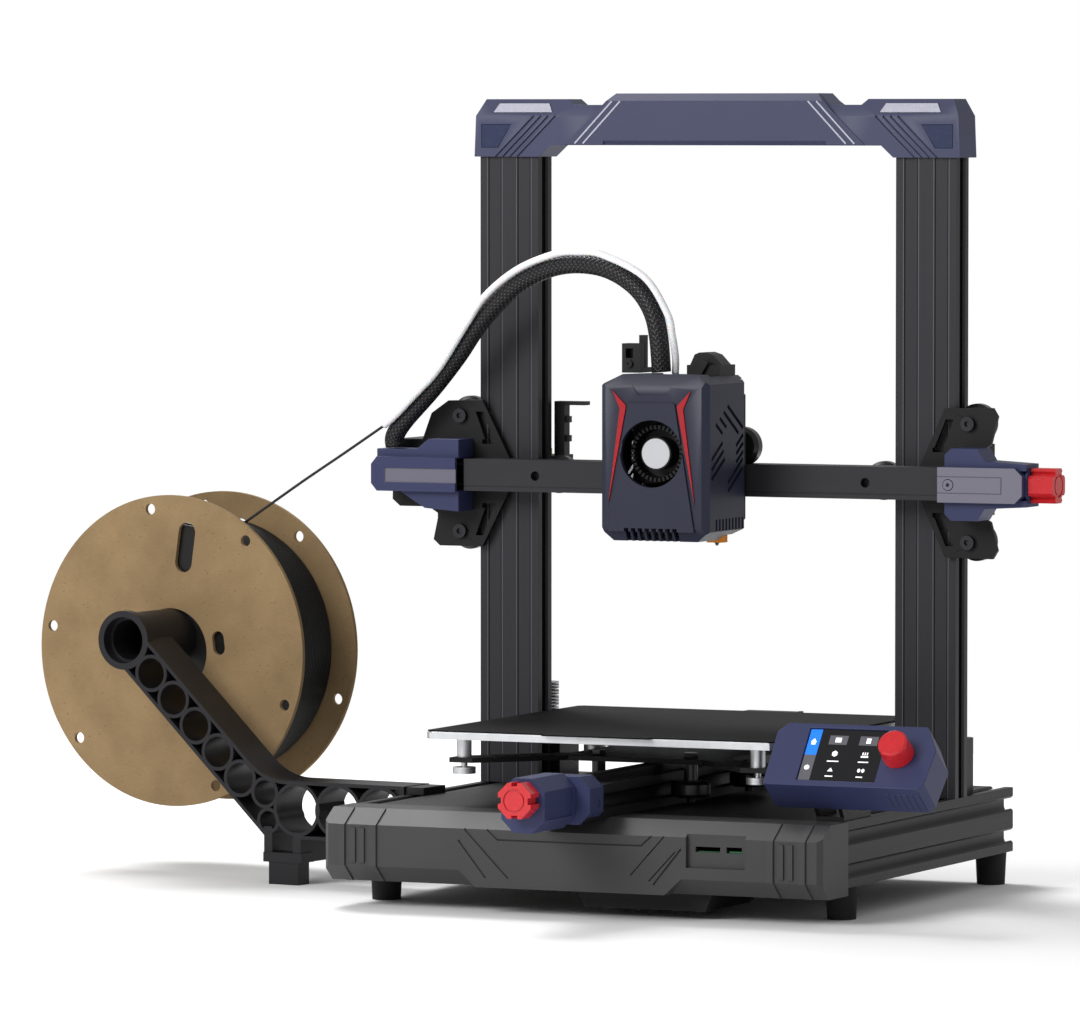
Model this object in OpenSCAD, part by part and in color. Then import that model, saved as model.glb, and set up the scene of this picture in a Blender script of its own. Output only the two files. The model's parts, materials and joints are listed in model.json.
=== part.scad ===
// Desktop filament printer: bed-slinger frame, gantry, print head, screen and spool holder.
// Millimetres. +X right, +Y to the back, +Z up. The origin lies on the bench,
// under the middle of the front face of the two uprights.

/* [Frame] */
// Width over the side rails and the uprights
frame_w = 321; // [300:1:360]
// Short side of the aluminium profiles
prof = 20; // [20:1:24]
// Long side of the aluminium profiles
prof_long = 40; // [40:1:48]
// How far the side rails reach in front of the uprights
rail_front = 178; // [165:1:200]
// How far the side rails reach behind the uprights' front face
rail_rear = 98; // [85:1:110]
// Height of the rubber feet
foot_h = 20; // [12:1:30]
// Height of the uprights above the side rails
upright_h = 422; // [390:1:500]
// Mouth of a profile slot
slot_mouth = 9.2; // [8.4:0.1:10]
// Neck of a profile slot
slot_neck = 6.6; // [6:0.1:7]
// Depth of a profile slot
slot_d = 6; // [5:0.1:7]

/* [Front cover] */
// How far the front cover stands in front of the side rails
cover_l = 42; // [36:1:60]
// How far the cover stands out past the rails at each side
cover_side = 2.5; // [1:0.5:5]
// Wall of the moulded covers
wall = 2.4; // [1.6:0.1:3.2]
// Height of the cover's lower lip above the bench
cover_z0 = 16; // [12:1:18]

/* [Y axis] */
// Width of the profile that carries the bed
yrail_w = 40; // [36:1:48]
// Length of that profile in front of the uprights
yrail_front = 238; // [225:1:260]
// Length of that profile behind the uprights' front face
yrail_rear = 118; // [116:1:130]
// Clearance between the heated bed and each upright
bed_gap = 5.5; // [4.5:0.5:20]
// Depth of the heated bed
bed_d = 230; // [200:1:232]
// Height of the top of the build sheet
bed_top = 106; // [104:1:110]
// Distance from the uprights' front face to the middle of the bed
bed_y = -63; // [-70:1:-56]
// Thickness of the steel build sheet
sheet_t = 0.8; // [0.5:0.1:1.2]
// Thickness of the heated aluminium plate
hotbed_t = 4; // [3:0.5:6]

/* [Gantry] */
// Height of the middle of the X beam above the bench
beam_z = 254.3; // [240:0.1:280]
// Thickness of the steel end plates
plate_t = 3; // [2:0.5:3]
// How far the X beam's left end stays inside the frame's width
beam_in = 0.5; // [-4.5:0.5:10.5]
// How far the X beam's right end stands out past the frame's width
beam_out = 2.5; // [-5.5:0.5:9.5]
// Radius of a V wheel
wheel_r = 12; // [10:0.1:13]
// How deep a wheel's rim sits in a profile's slot
wheel_bite = 1.3; // [0:0.1:2]
// Distance between the two outer wheels of an end plate
wheel_gap = 72.6; // [64:0.2:80]
// Distance of each lead screw inside the frame's outer side
screw_in = 26.5; // [24.5:0.5:30.5]
// Distance of the lead screws behind the uprights' rear face
screw_back = 18; // [16:1:22]
// Radius of a lead screw
screw_r = 4; // [3:0.5:5]

/* [Print head] */
// Middle of the head, left to right
head_x = -1.5; // [-3:0.5:3]
// Width of the head cover
head_w = 72; // [66:1:80]
// Distance of the head cover's front behind (minus: in front of) the uprights
head_front = -92; // [-100:1:-84]
// Lowest edge of the head cover
head_z0 = 219; // [217:1:224]
// Height of the head cover
head_h = 102; // [96:1:112]
// Radius of the round opening for the part fan
fan_r = 20.6; // [17:0.1:22]
// Nozzle position, left to right
nozzle_x = 22; // [18:1:26]
// Nozzle position, front to back
nozzle_y = -48; // [-52:1:-44]
// Height of the nozzle's tip
nozzle_z = 215; // [214.6:0.1:216]

/* [Screen] */
// Width of the screen housing
screen_w = 104; // [96:1:110]
// Height of the screen's face
screen_h = 44; // [40:1:50]
// Thickness of the screen housing
screen_t = 25; // [20:1:28]
// How far the face leans back from the bench plane
screen_tilt = 52; // [40:1:65]

/* [Spool and its arm] */
// Radius of the cardboard flanges
spool_r = 99; // [90:1:104]
// Width over the two flanges
spool_w = 66; // [55:1:70]
// Radius of the hole through the spool
spool_bore = 27; // [24:0.5:30]
// Radius of the wound filament
wound_r = 82; // [60:1:86]
// Thickness of a cardboard flange
flange_t = 3; // [2:0.5:4]
// Radius of the tube that carries the spool
tube_r = 17; // [15:0.5:19]
// Depth of the moulded arm
arm_d = 30; // [24:1:36]
// Turn of the arm about the vertical
arm_turn = -6; // [-8:1:0]

/* [Hidden] */

gap = 0.3;                       // between pieces that move past each other
fit = 0.05;                      // running clearance on a radius
hw = frame_w / 2;
wheel_off = wheel_r - wheel_bite;  // from a profile's face to the axle of a wheel on it
rail_z0 = foot_h;
rail_h = prof_long;
rail_z1 = rail_z0 + rail_h;
rail_len = rail_front + rail_rear;
upright_w = prof_long;
bed_w = 2 * (hw - upright_w - bed_gap);
screw_x = hw - screw_in;
screw_y = prof + screw_back;
upright_z1 = rail_z1 + upright_h;
pan_t = 1.5;
top_t = 2;
rear_t = 3;

// ---------- shared shapes ----------

// A slot open at y = 0 that reaches down to y = -slot_d.
module slot_2d(mouth = slot_mouth, depth = slot_d) {
    lip = (mouth - slot_neck) / 2;
    polygon([[-mouth / 2, 0.01], [mouth / 2, 0.01], [slot_neck / 2, -lip],
             [slot_neck / 2 + 1.6, -lip - 1], [slot_neck / 2 + 1.6, -depth + 1],
             [slot_neck / 2 - 1, -depth], [-slot_neck / 2 + 1, -depth],
             [-slot_neck / 2 - 1.6, -depth + 1], [-slot_neck / 2 - 1.6, -lip - 1],
             [-slot_neck / 2, -lip]]);
}

// A profile w wide and t high, centred, with deep slots at the places listed:
// each entry is [x, y, turn].
module profile_2d(w, t, slots, bores) {
    difference() {
        square([w, t], center = true);
        for (s = slots) translate([s[0], s[1]]) rotate(s[2]) slot_2d();
        for (b = bores) translate([b, 0]) circle(r = 2.1, $fn = 24);
    }
}

// A box with its four edges along Z cut off at 45 degrees.
module cut_box(size, cut) {
    linear_extrude(size[2]) cut_rect([size[0], size[1]], cut);
}

module cut_rect(size, cut) {
    x = size[0] / 2;
    y = size[1] / 2;
    polygon([[-x + cut, -y], [x - cut, -y], [x, -y + cut], [x, y - cut],
             [x - cut, y], [-x + cut, y], [-x, y - cut], [-x, -y + cut]]);
}

// Extrudes a drawing in X and Z along Y, from y0 to y1.
module along_y(y0, y1) {
    translate([0, y1, 0]) rotate([90, 0, 0]) linear_extrude(y1 - y0) children();
}

// Extrudes a drawing in Y and Z along X, from x0 to x1.
module along_x(x0, x1) {
    translate([x0, 0, 0]) rotate([90, 0, 90]) linear_extrude(x1 - x0) children();
}

// A box given by its corners.
module block(a, b) {
    translate(a) cube([b[0] - a[0], b[1] - a[1], b[2] - a[2]]);
}

// A round bar along Y from y0 to y1, centred at x and z.
module bar_y(x, z, r, y0, y1, fn = 48) {
    translate([x, y1, z]) rotate([90, 0, 0]) cylinder(r = r, h = y1 - y0, $fn = fn);
}

// A round bar along X from x0 to x1, centred at y and z.
module bar_x(y, z, r, x0, x1, fn = 48) {
    translate([x0, y, z]) rotate([0, 90, 0]) cylinder(r = r, h = x1 - x0, $fn = fn);
}

// A square stepper motor along +Z: body, and a boss on its face at z = h.
module stepper(w, h, boss_r) {
    cut_box([w, w, h], w / 12);
    translate([0, 0, h]) cylinder(r = boss_r, h = 1.5, $fn = 48);
}

// A toothed belt pulley along +Z, for a belt 6 wide, with a bore.
belt_pitch_r = prof / 2 - 3.6;     // both runs lie in the beam's slots
belt_room = belt_pitch_r + 2.6;
belt_w = 6;
belt_t = 1.4;
module pulley(bore, len) {
    difference() {
        union() {
            cylinder(r = belt_pitch_r - belt_t / 2 - gap, h = len, $fn = 60);
            cylinder(r = belt_pitch_r + 0.7, h = 1, $fn = 60);
            translate([0, 0, belt_w + 1.8]) cylinder(r = belt_pitch_r + 0.7, h = 1, $fn = 60);
        }
        translate([0, 0, -1]) cylinder(r = bore, h = len + 2, $fn = 48);
    }
}

// A belt round two pulleys at u = 0 and u = len, drawn flat.
module belt_2d(len) {
    ro = belt_pitch_r + belt_t / 2;
    ri = belt_pitch_r - belt_t / 2;
    difference() {
        union() {
            circle(r = ro, $fn = 64);
            translate([len, 0]) circle(r = ro, $fn = 64);
            translate([0, -ro]) square([len, 2 * ro]);
        }
        circle(r = ri, $fn = 64);
        translate([len, 0]) circle(r = ri, $fn = 64);
        translate([0, -ri]) square([len, 2 * ri]);
    }
}

// A V wheel along +Z, centred on z = 0.
wheel_half = 5.1;
wheel_flat = 2.9;
axle_r = 2.5;
module v_wheel() {
    low = wheel_r - (wheel_half - wheel_flat);
    rotate_extrude($fn = 64)
        polygon([[axle_r + fit, -wheel_half], [low, -wheel_half], [wheel_r, -wheel_flat],
                 [wheel_r, wheel_flat], [low, wheel_half], [axle_r + fit, wheel_half]]);
}

// A socket screw along -Y: its head stands in front of y = 0, its shank runs to y = len.
module screw_y_axis(len, r = 2.5, head_r = 4.4, head_h = 3) {
    rotate([-90, 0, 0]) {
        cylinder(r = r, h = len, $fn = 32);
        difference() {
            translate([0, 0, -head_h]) cylinder(r = head_r, h = head_h, $fn = 40);
            translate([0, 0, -head_h - 1]) cylinder(r = r * 0.8, h = head_h * 0.6 + 1, $fn = 6);
        }
    }
}

// ---------- base ----------

module base_rail_2d() {
    profile_2d(prof, rail_h,
        [[prof / 2, rail_h / 4, -90], [prof / 2, -rail_h / 4, -90], [-prof / 2, rail_h / 4, 90],
         [-prof / 2, -rail_h / 4, 90], [0, rail_h / 2, 0], [0, -rail_h / 2, 180]], []);
}

module base_rails() {
    color("#232225")
    for (s = [-1, 1]) difference() {
        translate([s * (hw - prof / 2), 0, rail_z0 + rail_h / 2])
            along_y(-rail_front, rail_rear) base_rail_2d();
        for (y = [-24, -34]) bar_x(y, rail_z1 - rail_h / 4, 2.2, s * hw - 4, s * hw + 4, 24);
    }
}

// Side outline of the front cover, in Y and Z.
cover_y0 = -rail_front - cover_l;
cover_face_z0 = 26;
cover_face_z1 = 51;
cover_top_y = 14;                // run of the upper chamfer, front to back
cover_low_y = 12;                // run of the lower chamfer
mid_half = 62;                   // half width of the deep middle of the cover
mid_slope = 11;                  // run of its slanted ends
module cover_side_2d(in) {
    y0 = cover_y0 + in;
    z1 = rail_z1 - in;
    z0 = cover_z0 + in;
    k = in * 0.45;
    polygon([[y0, cover_face_z0 + k], [y0, cover_face_z1 - k], [y0 + cover_top_y - k, z1],
             [-rail_front, z1], [-rail_front, z0], [y0 + cover_low_y - k, z0]]);
}

// Front outline of the middle that reaches down without a chamfer, in X and Z.
module cover_mid_2d(in) {
    polygon([[-mid_half - mid_slope + in, cover_face_z0], [-mid_half + in, cover_z0 + in],
             [mid_half - in, cover_z0 + in], [mid_half + mid_slope - in, cover_face_z0],
             [mid_half + mid_slope - in, cover_face_z0 + 4],
             [-mid_half - mid_slope + in, cover_face_z0 + 4]]);
}

band_x = [[127.5, 132.5], [148.5, 153]];
grip_x = [[135.5, 139], [141.5, 145]];
port_x = [76, 114];
port_z0 = 33;
port_d = 3;
sd_x = [81, 97];
usb_x = [101, 111];
port_zc = 44;
board_z = 38;

// One straight groove in the cover's face, from a to b, both [x, z].
module face_groove(a, b, w, d = 1.2) {
    len = norm(b - a);
    turn = atan2(b[1] - a[1], b[0] - a[0]);
    translate([a[0], cover_y0, a[1]]) rotate([0, -turn, 0])
        translate([0, -1, -w / 2]) cube([len, d + 1, w]);
}

module front_cover() {
    half = hw + cover_side;
    color("#4a4b4d")
    difference() {
        union() {
            intersection() {
                along_x(-half, half) cover_side_2d(0);
                translate([0, cover_y0 + cover_l / 2 + 3, 0])
                    cut_box([2 * half, cover_l + 6, 100], 3);
            }
            along_y(cover_y0, cover_y0 + cover_low_y + 4) cover_mid_2d(0);
            for (s = [-1, 1], b = band_x)
                along_x(s > 0 ? b[0] : -b[1], s > 0 ? b[1] : -b[0])
                    difference() {
                        translate([-1.4, 0]) cover_side_2d(0);
                        translate([-rail_front - 8, 0]) square([30, 100]);
                    }
            for (s = [-1, 1], g = grip_x)
                block([s > 0 ? g[0] : -g[1], cover_y0 - 1.2, cover_face_z0 + 2],
                      [s > 0 ? g[1] : -g[0], cover_y0 + 1, cover_face_z1 - 2]);
        }
        along_x(-half + wall, half - wall) difference() {
            cover_side_2d(wall);
            translate([-rail_front - 6, 0]) square([30, cover_z0 + 5]);
        }
        along_y(cover_y0 + wall, cover_y0 + cover_low_y + 6) cover_mid_2d(wall);
        block([-hw - 20, -rail_front - 0.01, 0], [hw + 20, -rail_front + 20, 100]);
        // recess for the sockets, open at the top chamfer
        block([port_x[0], cover_y0 - 2, port_z0], [port_x[1], cover_y0 + port_d, rail_z1 - wall]);
        block([sd_x[0], cover_y0, port_zc - 1.6], [sd_x[1], cover_y0 + 12, port_zc + 1.6]);
        block([usb_x[0], cover_y0, port_zc - 1.8], [usb_x[1], cover_y0 + 12, port_zc + 1.8]);
        // long strip along the top of the middle
        face_groove([-47, 45], [47, 45], 1);
        face_groove([-54, 51], [-47, 45], 1);
        face_groove([54, 51], [47, 45], 1);
        // slanted lines beside it
        face_groove([-73, 44], [-55, 22], 1.2);
        face_groove([-69, 51], [-40, 22], 1.2);
        face_groove([73, 44], [55, 22], 1.2);
        face_groove([69, 42], [52, 24], 0.8);
        face_groove([62, 51], [40, 27], 0.8);
    }
    // back wall of the socket recess
    color("#4a4b4d") difference() {
        block([port_x[0] - 1, cover_y0 + port_d, port_z0 - 2],
              [port_x[1] + 1, cover_y0 + port_d + 1.6, cover_face_z1 + 2]);
        block([sd_x[0], cover_y0, port_zc - 1.6], [sd_x[1], cover_y0 + 12, port_zc + 1.6]);
        block([usb_x[0], cover_y0, port_zc - 1.8], [usb_x[1], cover_y0 + 12, port_zc + 1.8]);
    }
}

inlet_x = -92;
inlet_size = [28, 20];
inlet_z = rail_z0 + rail_h / 2;
switch_x = -52;
switch_size = [19, 13];
in_w = frame_w - 2 * prof;       // clear width between the side rails
module rear_cover() {
    color("#2b2b2d") difference() {
        block([-in_w / 2, rail_rear - rear_t, rail_z0], [in_w / 2, rail_rear, rail_z1 - top_t]);
        translate([inlet_x, 0, inlet_z]) along_y(0, 200) square(inlet_size, center = true);
        translate([switch_x, 0, inlet_z]) along_y(0, 200) square(switch_size, center = true);
        for (x = [20:8:100]) block([x, 0, rail_z0 + 8], [x + 4, 200, rail_z0 + 28]);
    }
}

module base_top_plate() {
    color("#1b1b1d")
    block([-in_w / 2, -rail_front, rail_z1 - top_t], [in_w / 2, rail_rear, rail_z1]);
}

tray_x = [1, 80];
tray_y = [-200, -128];
tray_z = 5;
tray_side = 5;
module base_pan() {
    tray = [[tray_x[0] - tray_side, cover_z0 - gap], [tray_x[0], tray_z], [tray_x[1], tray_z],
            [tray_x[1] + tray_side, cover_z0 - gap]];
    color("#323335") difference() {
        union() {
            block([-in_w / 2, -rail_front, rail_z0], [in_w / 2, rail_rear - rear_t, rail_z0 + pan_t]);
            along_y(tray_y[0], tray_y[1]) polygon(tray);
            block([tray_x[0] - tray_side, -rail_front + gap, cover_z0 - gap - 1],
                  [tray_x[1] + tray_side, tray_y[1], rail_z0 + pan_t]);
        }
        block([tray_x[0] + 4, tray_y[0] + 4, tray_z + 2],
              [tray_x[1] - 4, tray_y[1] - 4, cover_z0 - gap - 2]);
        block([tray_x[0] + 4, -rail_front + 6, tray_z + 2], [tray_x[1] - 4, tray_y[1] - 4, 40]);
        for (y = [-40:12:56]) block([30, y, 0], [110, y + 5, 40]);
    }
}

module power_supply() {
    x0 = -132;
    size = [112, 214, 30];
    z0 = rail_z0 + pan_t;
    color("#b9bbbd") difference() {
        translate([x0, -145, z0]) cube(size);
        for (y = [-120:10:40]) block([x0 + 16, y, z0 + size[2] - 1], [x0 + 96, y + 5, z0 + 60]);
        block([x0 + 6, 54, z0 + 8], [x0 + 106, 80, z0 + size[2] - 6]);
    }
}

module main_board() {
    bx = [52, 136];
    by = [cover_y0 + port_d + 4, -110];
    color("#1f5a34") {
        block([bx[0], by[0], board_z], [bx[1], by[1], board_z + 1.6]);
        for (x = [58, 130], y = [-165, -116])
            translate([x, y, rail_z0 + pan_t])
                cylinder(r = 3, h = board_z - rail_z0 - pan_t, $fn = 24);
    }
    // card socket, usb socket, processor, drivers and terminals on the board
    t = board_z + 1.6;
    color("#c4c6c9") {
        block([sd_x[0] + 0.5, by[0] - 1.6, t], [sd_x[1] - 0.5, by[0] + 14, t + 3.2]);
        block([usb_x[0] + 0.6, by[0] - 1.6, t + 0.4], [usb_x[1] - 0.6, by[0] + 7, t + 3.6]);
    }
    color("#202124") {
        block([86, -180, t], [100, -166, t + 1.4]);
        for (x = [60:16:124]) block([x, -152, t], [x + 9, -143, t + 9]);
        block([58, -126, t], [118, -116, t + 11]);
    }
}

module power_inlet() {
    color("#17171a") difference() {
        union() {
            translate([inlet_x, 0, inlet_z]) along_y(rail_rear, rail_rear + 2)
                cut_rect([inlet_size[0] + 10, inlet_size[1] + 6], 3);
            translate([inlet_x, 0, inlet_z]) along_y(rail_rear - 22, rail_rear)
                square([inlet_size[0] - 0.4, inlet_size[1] - 0.4], center = true);
        }
        translate([inlet_x, 0, inlet_z]) along_y(rail_rear - 16, rail_rear + 9)
            polygon([[-12, -7.5], [12, -7.5], [12, 4], [8.5, 7.5], [-8.5, 7.5], [-12, 4]]);
    }
    color("#c9c9c9") for (p = [[-7, 0], [7, 0], [0, -3.5]])
        translate([inlet_x + p[0], 0, inlet_z + p[1]])
            along_y(rail_rear - 16, rail_rear - 3) square([2, 4.5], center = true);
    // frame of the rocker beside it
    color("#17171a") difference() {
        translate([switch_x, 0, inlet_z]) along_y(rail_rear - 14, rail_rear + 1.6)
            square([switch_size[0] - 0.4, switch_size[1] - 0.4], center = true);
        translate([switch_x, 0, inlet_z]) along_y(rail_rear - 12, rail_rear + 9)
            square([switch_size[0] - 3.4, switch_size[1] - 3.4], center = true);
    }
}

// Rocker that tilts about a pin along Z.
rocker_y = rail_rear - 3;
module power_switch() {
    h = switch_size[1] - 4.4;
    color("#b3202a") translate([switch_x, rocker_y, inlet_z - h / 2]) {
        linear_extrude(h) polygon([[-6.6, -1], [0, -4], [6.6, -1], [6.6, 5.2], [0, 3.6], [-6.6, 2.2]]);
        translate([0, 0, -0.2]) cylinder(r = 1.6, h = h + 0.4, $fn = 32);
    }
}

foot_r = 9.75;
foot_y = [-158, 86];
module feet() {
    color("#1d1c1c") for (s = [-1, 1], y = foot_y)
        translate([s * (hw - prof / 2), y, 0]) difference() {
            cylinder(r1 = foot_r - 1, r2 = foot_r, h = foot_h, $fn = 64);
            translate([0, 0, -1]) cylinder(r = 4.5, h = 5, $fn = 32);
        }
}

// ---------- uprights and top bar ----------

module upright_2d() {
    difference() {
        profile_2d(upright_w, prof,
            [[upright_w / 2, 0, -90], [-upright_w / 2, 0, 90], [upright_w / 4, prof / 2, 0],
             [-upright_w / 4, prof / 2, 0]], [-upright_w / 4, upright_w / 4]);
        // shallow front channels, closed by flat strips
        for (x = [-upright_w / 4, upright_w / 4])
            translate([x - slot_mouth / 2, -prof / 2 - 1]) square([slot_mouth, 1.5]);
    }
}

module uprights() {
    color("#3c3a3d") for (s = [-1, 1])
        translate([s * (hw - upright_w / 2), prof / 2, rail_z1]) linear_extrude(upright_h) upright_2d();
}

cap_out = 3;                     // how far the caps stand out past the uprights
cap_z0 = upright_z1 - 29;
cap_z1 = upright_z1 + 7;
bar_z0 = upright_z1 - 21.7;
bar_z1 = upright_z1 + 10.5;
bar_out = 0.8;                   // how far the raised middle stands in front
bar_half = 68;                   // half width of the raised middle, at its top
bar_y0 = -2.4;
bar_y1 = prof + 5.4;
cap_in = 101;                    // inner end of each cap
top_chamfer = 10.5;
module top_bar_front_2d() {
    o = hw + cap_out;
    for (s = [-1, 1]) scale([s, 1]) polygon([
        [0, bar_z0], [o - 52, bar_z0], [o - 44, cap_z0], [o, cap_z0], [o - 1, cap_z1 - top_chamfer],
        [o - 6, cap_z1], [cap_in, cap_z1], [cap_in - 4, cap_z1 - 3.6], [bar_half + 9, cap_z1 - 3.6],
        [bar_half, bar_z1], [0, bar_z1]]);
}

module top_bar_side_2d(c) {
    polygon([[bar_y0, cap_z0 - 1], [bar_y0, c], [bar_y0 + 9, bar_z1 + 4], [bar_y1 - 5, bar_z1 + 4],
             [bar_y1, c], [bar_y1, cap_z0 - 1]]);
}

// One slanted groove in the front of a cap, at its upper end x.
module cap_groove(s, x) {
    translate([s * x, bar_y0, cap_z1 - top_chamfer - 0.2]) rotate([0, -s * 45.7, 0])
        translate([-0.55, -1, -40]) cube([1.1, 2.2, 40.3]);
}

module top_bar() {
    o = hw + cap_out;
    color("#3f4466") difference() {
        union() {
            intersection() {
                along_y(bar_y0, bar_y1) top_bar_front_2d();
                along_x(-o - 1, o + 1) top_bar_side_2d(cap_z1 - top_chamfer);
            }
            // the raised middle keeps a taller face
            intersection() {
                along_y(bar_y0 - bar_out, bar_y1) polygon([[-bar_half - 33.3, bar_z0], [bar_half + 33.3, bar_z0],
                    [bar_half, bar_z1], [-bar_half, bar_z1]]);
                along_x(-o, o) polygon([[bar_y0 - bar_out, bar_z0 + 0.6], [bar_y0 - bar_out, bar_z1 - 4.6],
                    [bar_y0 + 4, bar_z1], [bar_y1, bar_z1], [bar_y1, bar_z0], [bar_y0 - bar_out + 0.6, bar_z0]]);
            }
        }
        // seats for the uprights
        for (s = [-1, 1]) translate([s * (hw - upright_w / 2), prof / 2, cap_z0 - 2])
            linear_extrude(upright_z1 - cap_z0 + 2) square([upright_w + 0.1, prof + 0.1], center = true);
        // hollow middle, open at the back
        block([-95, bar_y0 + wall, bar_z0 + wall], [95, bar_y1 + 1, cap_z1 - 7]);
        for (s = [-1, 1], i = [0:3]) cap_groove(s, o - 55.5 + 4.95 * i);
        along_x(-75, 75) polygon([[bar_y0 - 2, bar_z0 - 1], [bar_y0 - 2, bar_z0 + 4.2], [bar_y0 + 2.7, bar_z0 - 1]]);
        for (s = [-1, 1]) {
            // seat of the dark panel on the face and of the pale plate on the slope
            inlay_dark(s, 0.3);
            inlay_pale(s, 0.3);
            for (i = [0, 1]) inlay_line(s, i, 0.15);
        }
    }
}

// Dark trapezoid let into the front of a cap.
module inlay_dark(s, c) {
    o = hw + cap_out;
    translate([0, bar_y0 + 1 + c / 3, 0]) along_y(-1 - c, 0) scale([s, 1])
        polygon([[o - 25 - c, cap_z1 - 16 + c], [o - 5 + c, cap_z1 - 16 + c],
                 [o - 5 + c, cap_z0 + 6 - c], [o - 16 - c, cap_z0 + 6 - c]]);
}

// Pale plate let into the slope above it.
slope_turn = atan2(top_chamfer + 8, 9);
module inlay_pale(s, c) {
    o = hw + cap_out;
    translate([s * (o - 33), bar_y0, cap_z1 - top_chamfer]) rotate([slope_turn, 0, 0])
        translate([0, 0, -0.6 - c / 3]) linear_extrude(1 + c)
            polygon([[-20 - c, 2.5 - c], [20 + c, 2.5 - c], [17 + c, 8.5 + c], [-17 - c, 8.5 + c]]);
}

// Pale slanted line across the bar where the raised middle begins.
module inlay_line(s, i, c) {
    translate([s * (bar_half + 0.8 - 5.6 * i), bar_y0 - bar_out + 0.6, bar_z1 - 4.8]) rotate([0, -s * 44, 0])
        translate([-0.5 - c, -0.9, -36.6 - c]) cube([1 + 2 * c, 0.9 + c, 36.6 + 2 * c]);
}

module top_bar_inlays() {
    for (s = [-1, 1]) {
        color("#1d2a55") inlay_dark(s, 0);
        color("#b9bccb") inlay_pale(s, 0);
        color("#b9bccb") for (i = [0, 1]) inlay_line(s, i, 0);
    }
}

// ---------- Y axis ----------

yrail_z0 = rail_z1;
yrail_zc = yrail_z0 + prof / 2;
ybelt_z = yrail_zc + 7.1;
y_idler_y = -yrail_front - 24;
y_drive_y = yrail_rear + 21.5;
module y_rail() {
    color("#2a292c") difference() {
        translate([0, 0, yrail_zc]) along_y(-yrail_front, yrail_rear) difference() {
            profile_2d(yrail_w, prof,
                [[yrail_w / 2, 0, -90], [-yrail_w / 2, 0, 90]], [-9.8, 9.8]);
            translate([-5, -6]) square([10, 12]);
            for (x = [-14, 14]) translate([x - 1, prof / 2 - 1]) square([2, 2]);
        }
    }
}

// Long octagonal nose that holds the belt's tension pulley, on the end of the rail.
nose_w = 28;
nose_h = 32.5;
nose_cut = 8;
nose_len = 45;
nose_cap = 20;
nose_zc = yrail_zc + 2.2;
nose_y1 = -yrail_front - 3;
y_knob_z = nose_zc + 3.8;
knob_r = 11.5;
knob_l = 12;
module y_tensioner_housing() {
    y0 = nose_y1 - nose_len;
    color("#3a4066") difference() {
        union() {
            translate([0, 0, nose_zc]) along_y(y0, nose_y1) cut_rect([nose_w, nose_h], nose_cut);
            translate([0, 0, nose_zc]) along_y(nose_y1, nose_y1 + nose_cap)
                cut_rect([yrail_w + 6, nose_h - 4], 7);
        }
        // pocket for the rail's end, and the space of the pulley and belt
        translate([0, 0, yrail_zc]) along_y(-yrail_front, 0) square([yrail_w + 0.2, prof + 0.2], center = true);
        block([-yrail_w / 2, -yrail_front, 0], [yrail_w / 2, 0, yrail_zc]);
        block([-6, y_idler_y - belt_room, nose_zc - 9], [6, 0, ybelt_z + belt_room - 0.9]);
        bar_y(0, y_knob_z, 2.6, y0 - 1, y_idler_y);
        bar_x(y_idler_y, ybelt_z, 2.6, -9, 9);
        // shallow panels in both flanks
        for (s = [-1, 1]) block([s > 0 ? nose_w / 2 - 1 : -nose_w / 2 - 1, y0 + 6, nose_zc - 8.5],
                                [s > 0 ? nose_w / 2 + 1 : -nose_w / 2 + 1, nose_y1 - 5, nose_zc + 8.5]);
        for (s = [-1, 1]) bar_x(nose_y1 + 12, nose_zc - 2, 2.6, s * (yrail_w / 2 + 1.6), s * (yrail_w / 2 + 9));
    }
    color("#1a1a1c") for (s = [-1, 1])
        bar_x(nose_y1 + 12, nose_zc - 2, 2.4, s > 0 ? yrail_w / 2 + 1.7 : -yrail_w / 2 - 2.7,
              s > 0 ? yrail_w / 2 + 2.7 : -yrail_w / 2 - 1.7);
}

// Octagonal grip knob along +Z with notches round its rim and a screw behind it.
module grip_knob(r, l, screw_l) {
    difference() {
        union() {
            cylinder(r = r, h = l, $fn = 8);
            translate([0, 0, -screw_l]) cylinder(r = 2.5, h = screw_l + 1, $fn = 32);
        }
        for (i = [0:3]) rotate(90 * i + 22.5) translate([r * 0.9, 0, -0.1])
            linear_extrude(l + 1) square([r * 0.3, r * 0.34], center = true);
        translate([0, 0, l - 0.8]) difference() {
            cylinder(r = r * 0.62, h = 2, $fn = 48);
            translate([0, 0, -1]) cylinder(r = r * 0.5, h = 4, $fn = 48);
        }
    }
}

module y_tension_knob() {
    color("#cf3a43") translate([0, nose_y1 - nose_len - gap, y_knob_z]) rotate([90, 22.5, 0])
        grip_knob(knob_r, knob_l, 12);
}

module y_idler_pulley() {
    color("#b8babd") translate([-4.4, y_idler_y, ybelt_z]) rotate([0, 90, 0]) pulley(2.5 + fit, 8.8);
    color("#8e9094") bar_x(y_idler_y, ybelt_z, 2.5, -5.5, 5.5, 32);
}

module y_drive_pulley() {
    color("#b8babd") translate([-4.4, y_drive_y, ybelt_z]) rotate([0, 90, 0]) pulley(2.5, 12);
    color("#8e9094") bar_x(y_drive_y, ybelt_z, 2.5, -9, 7.6, 32);
}

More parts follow.
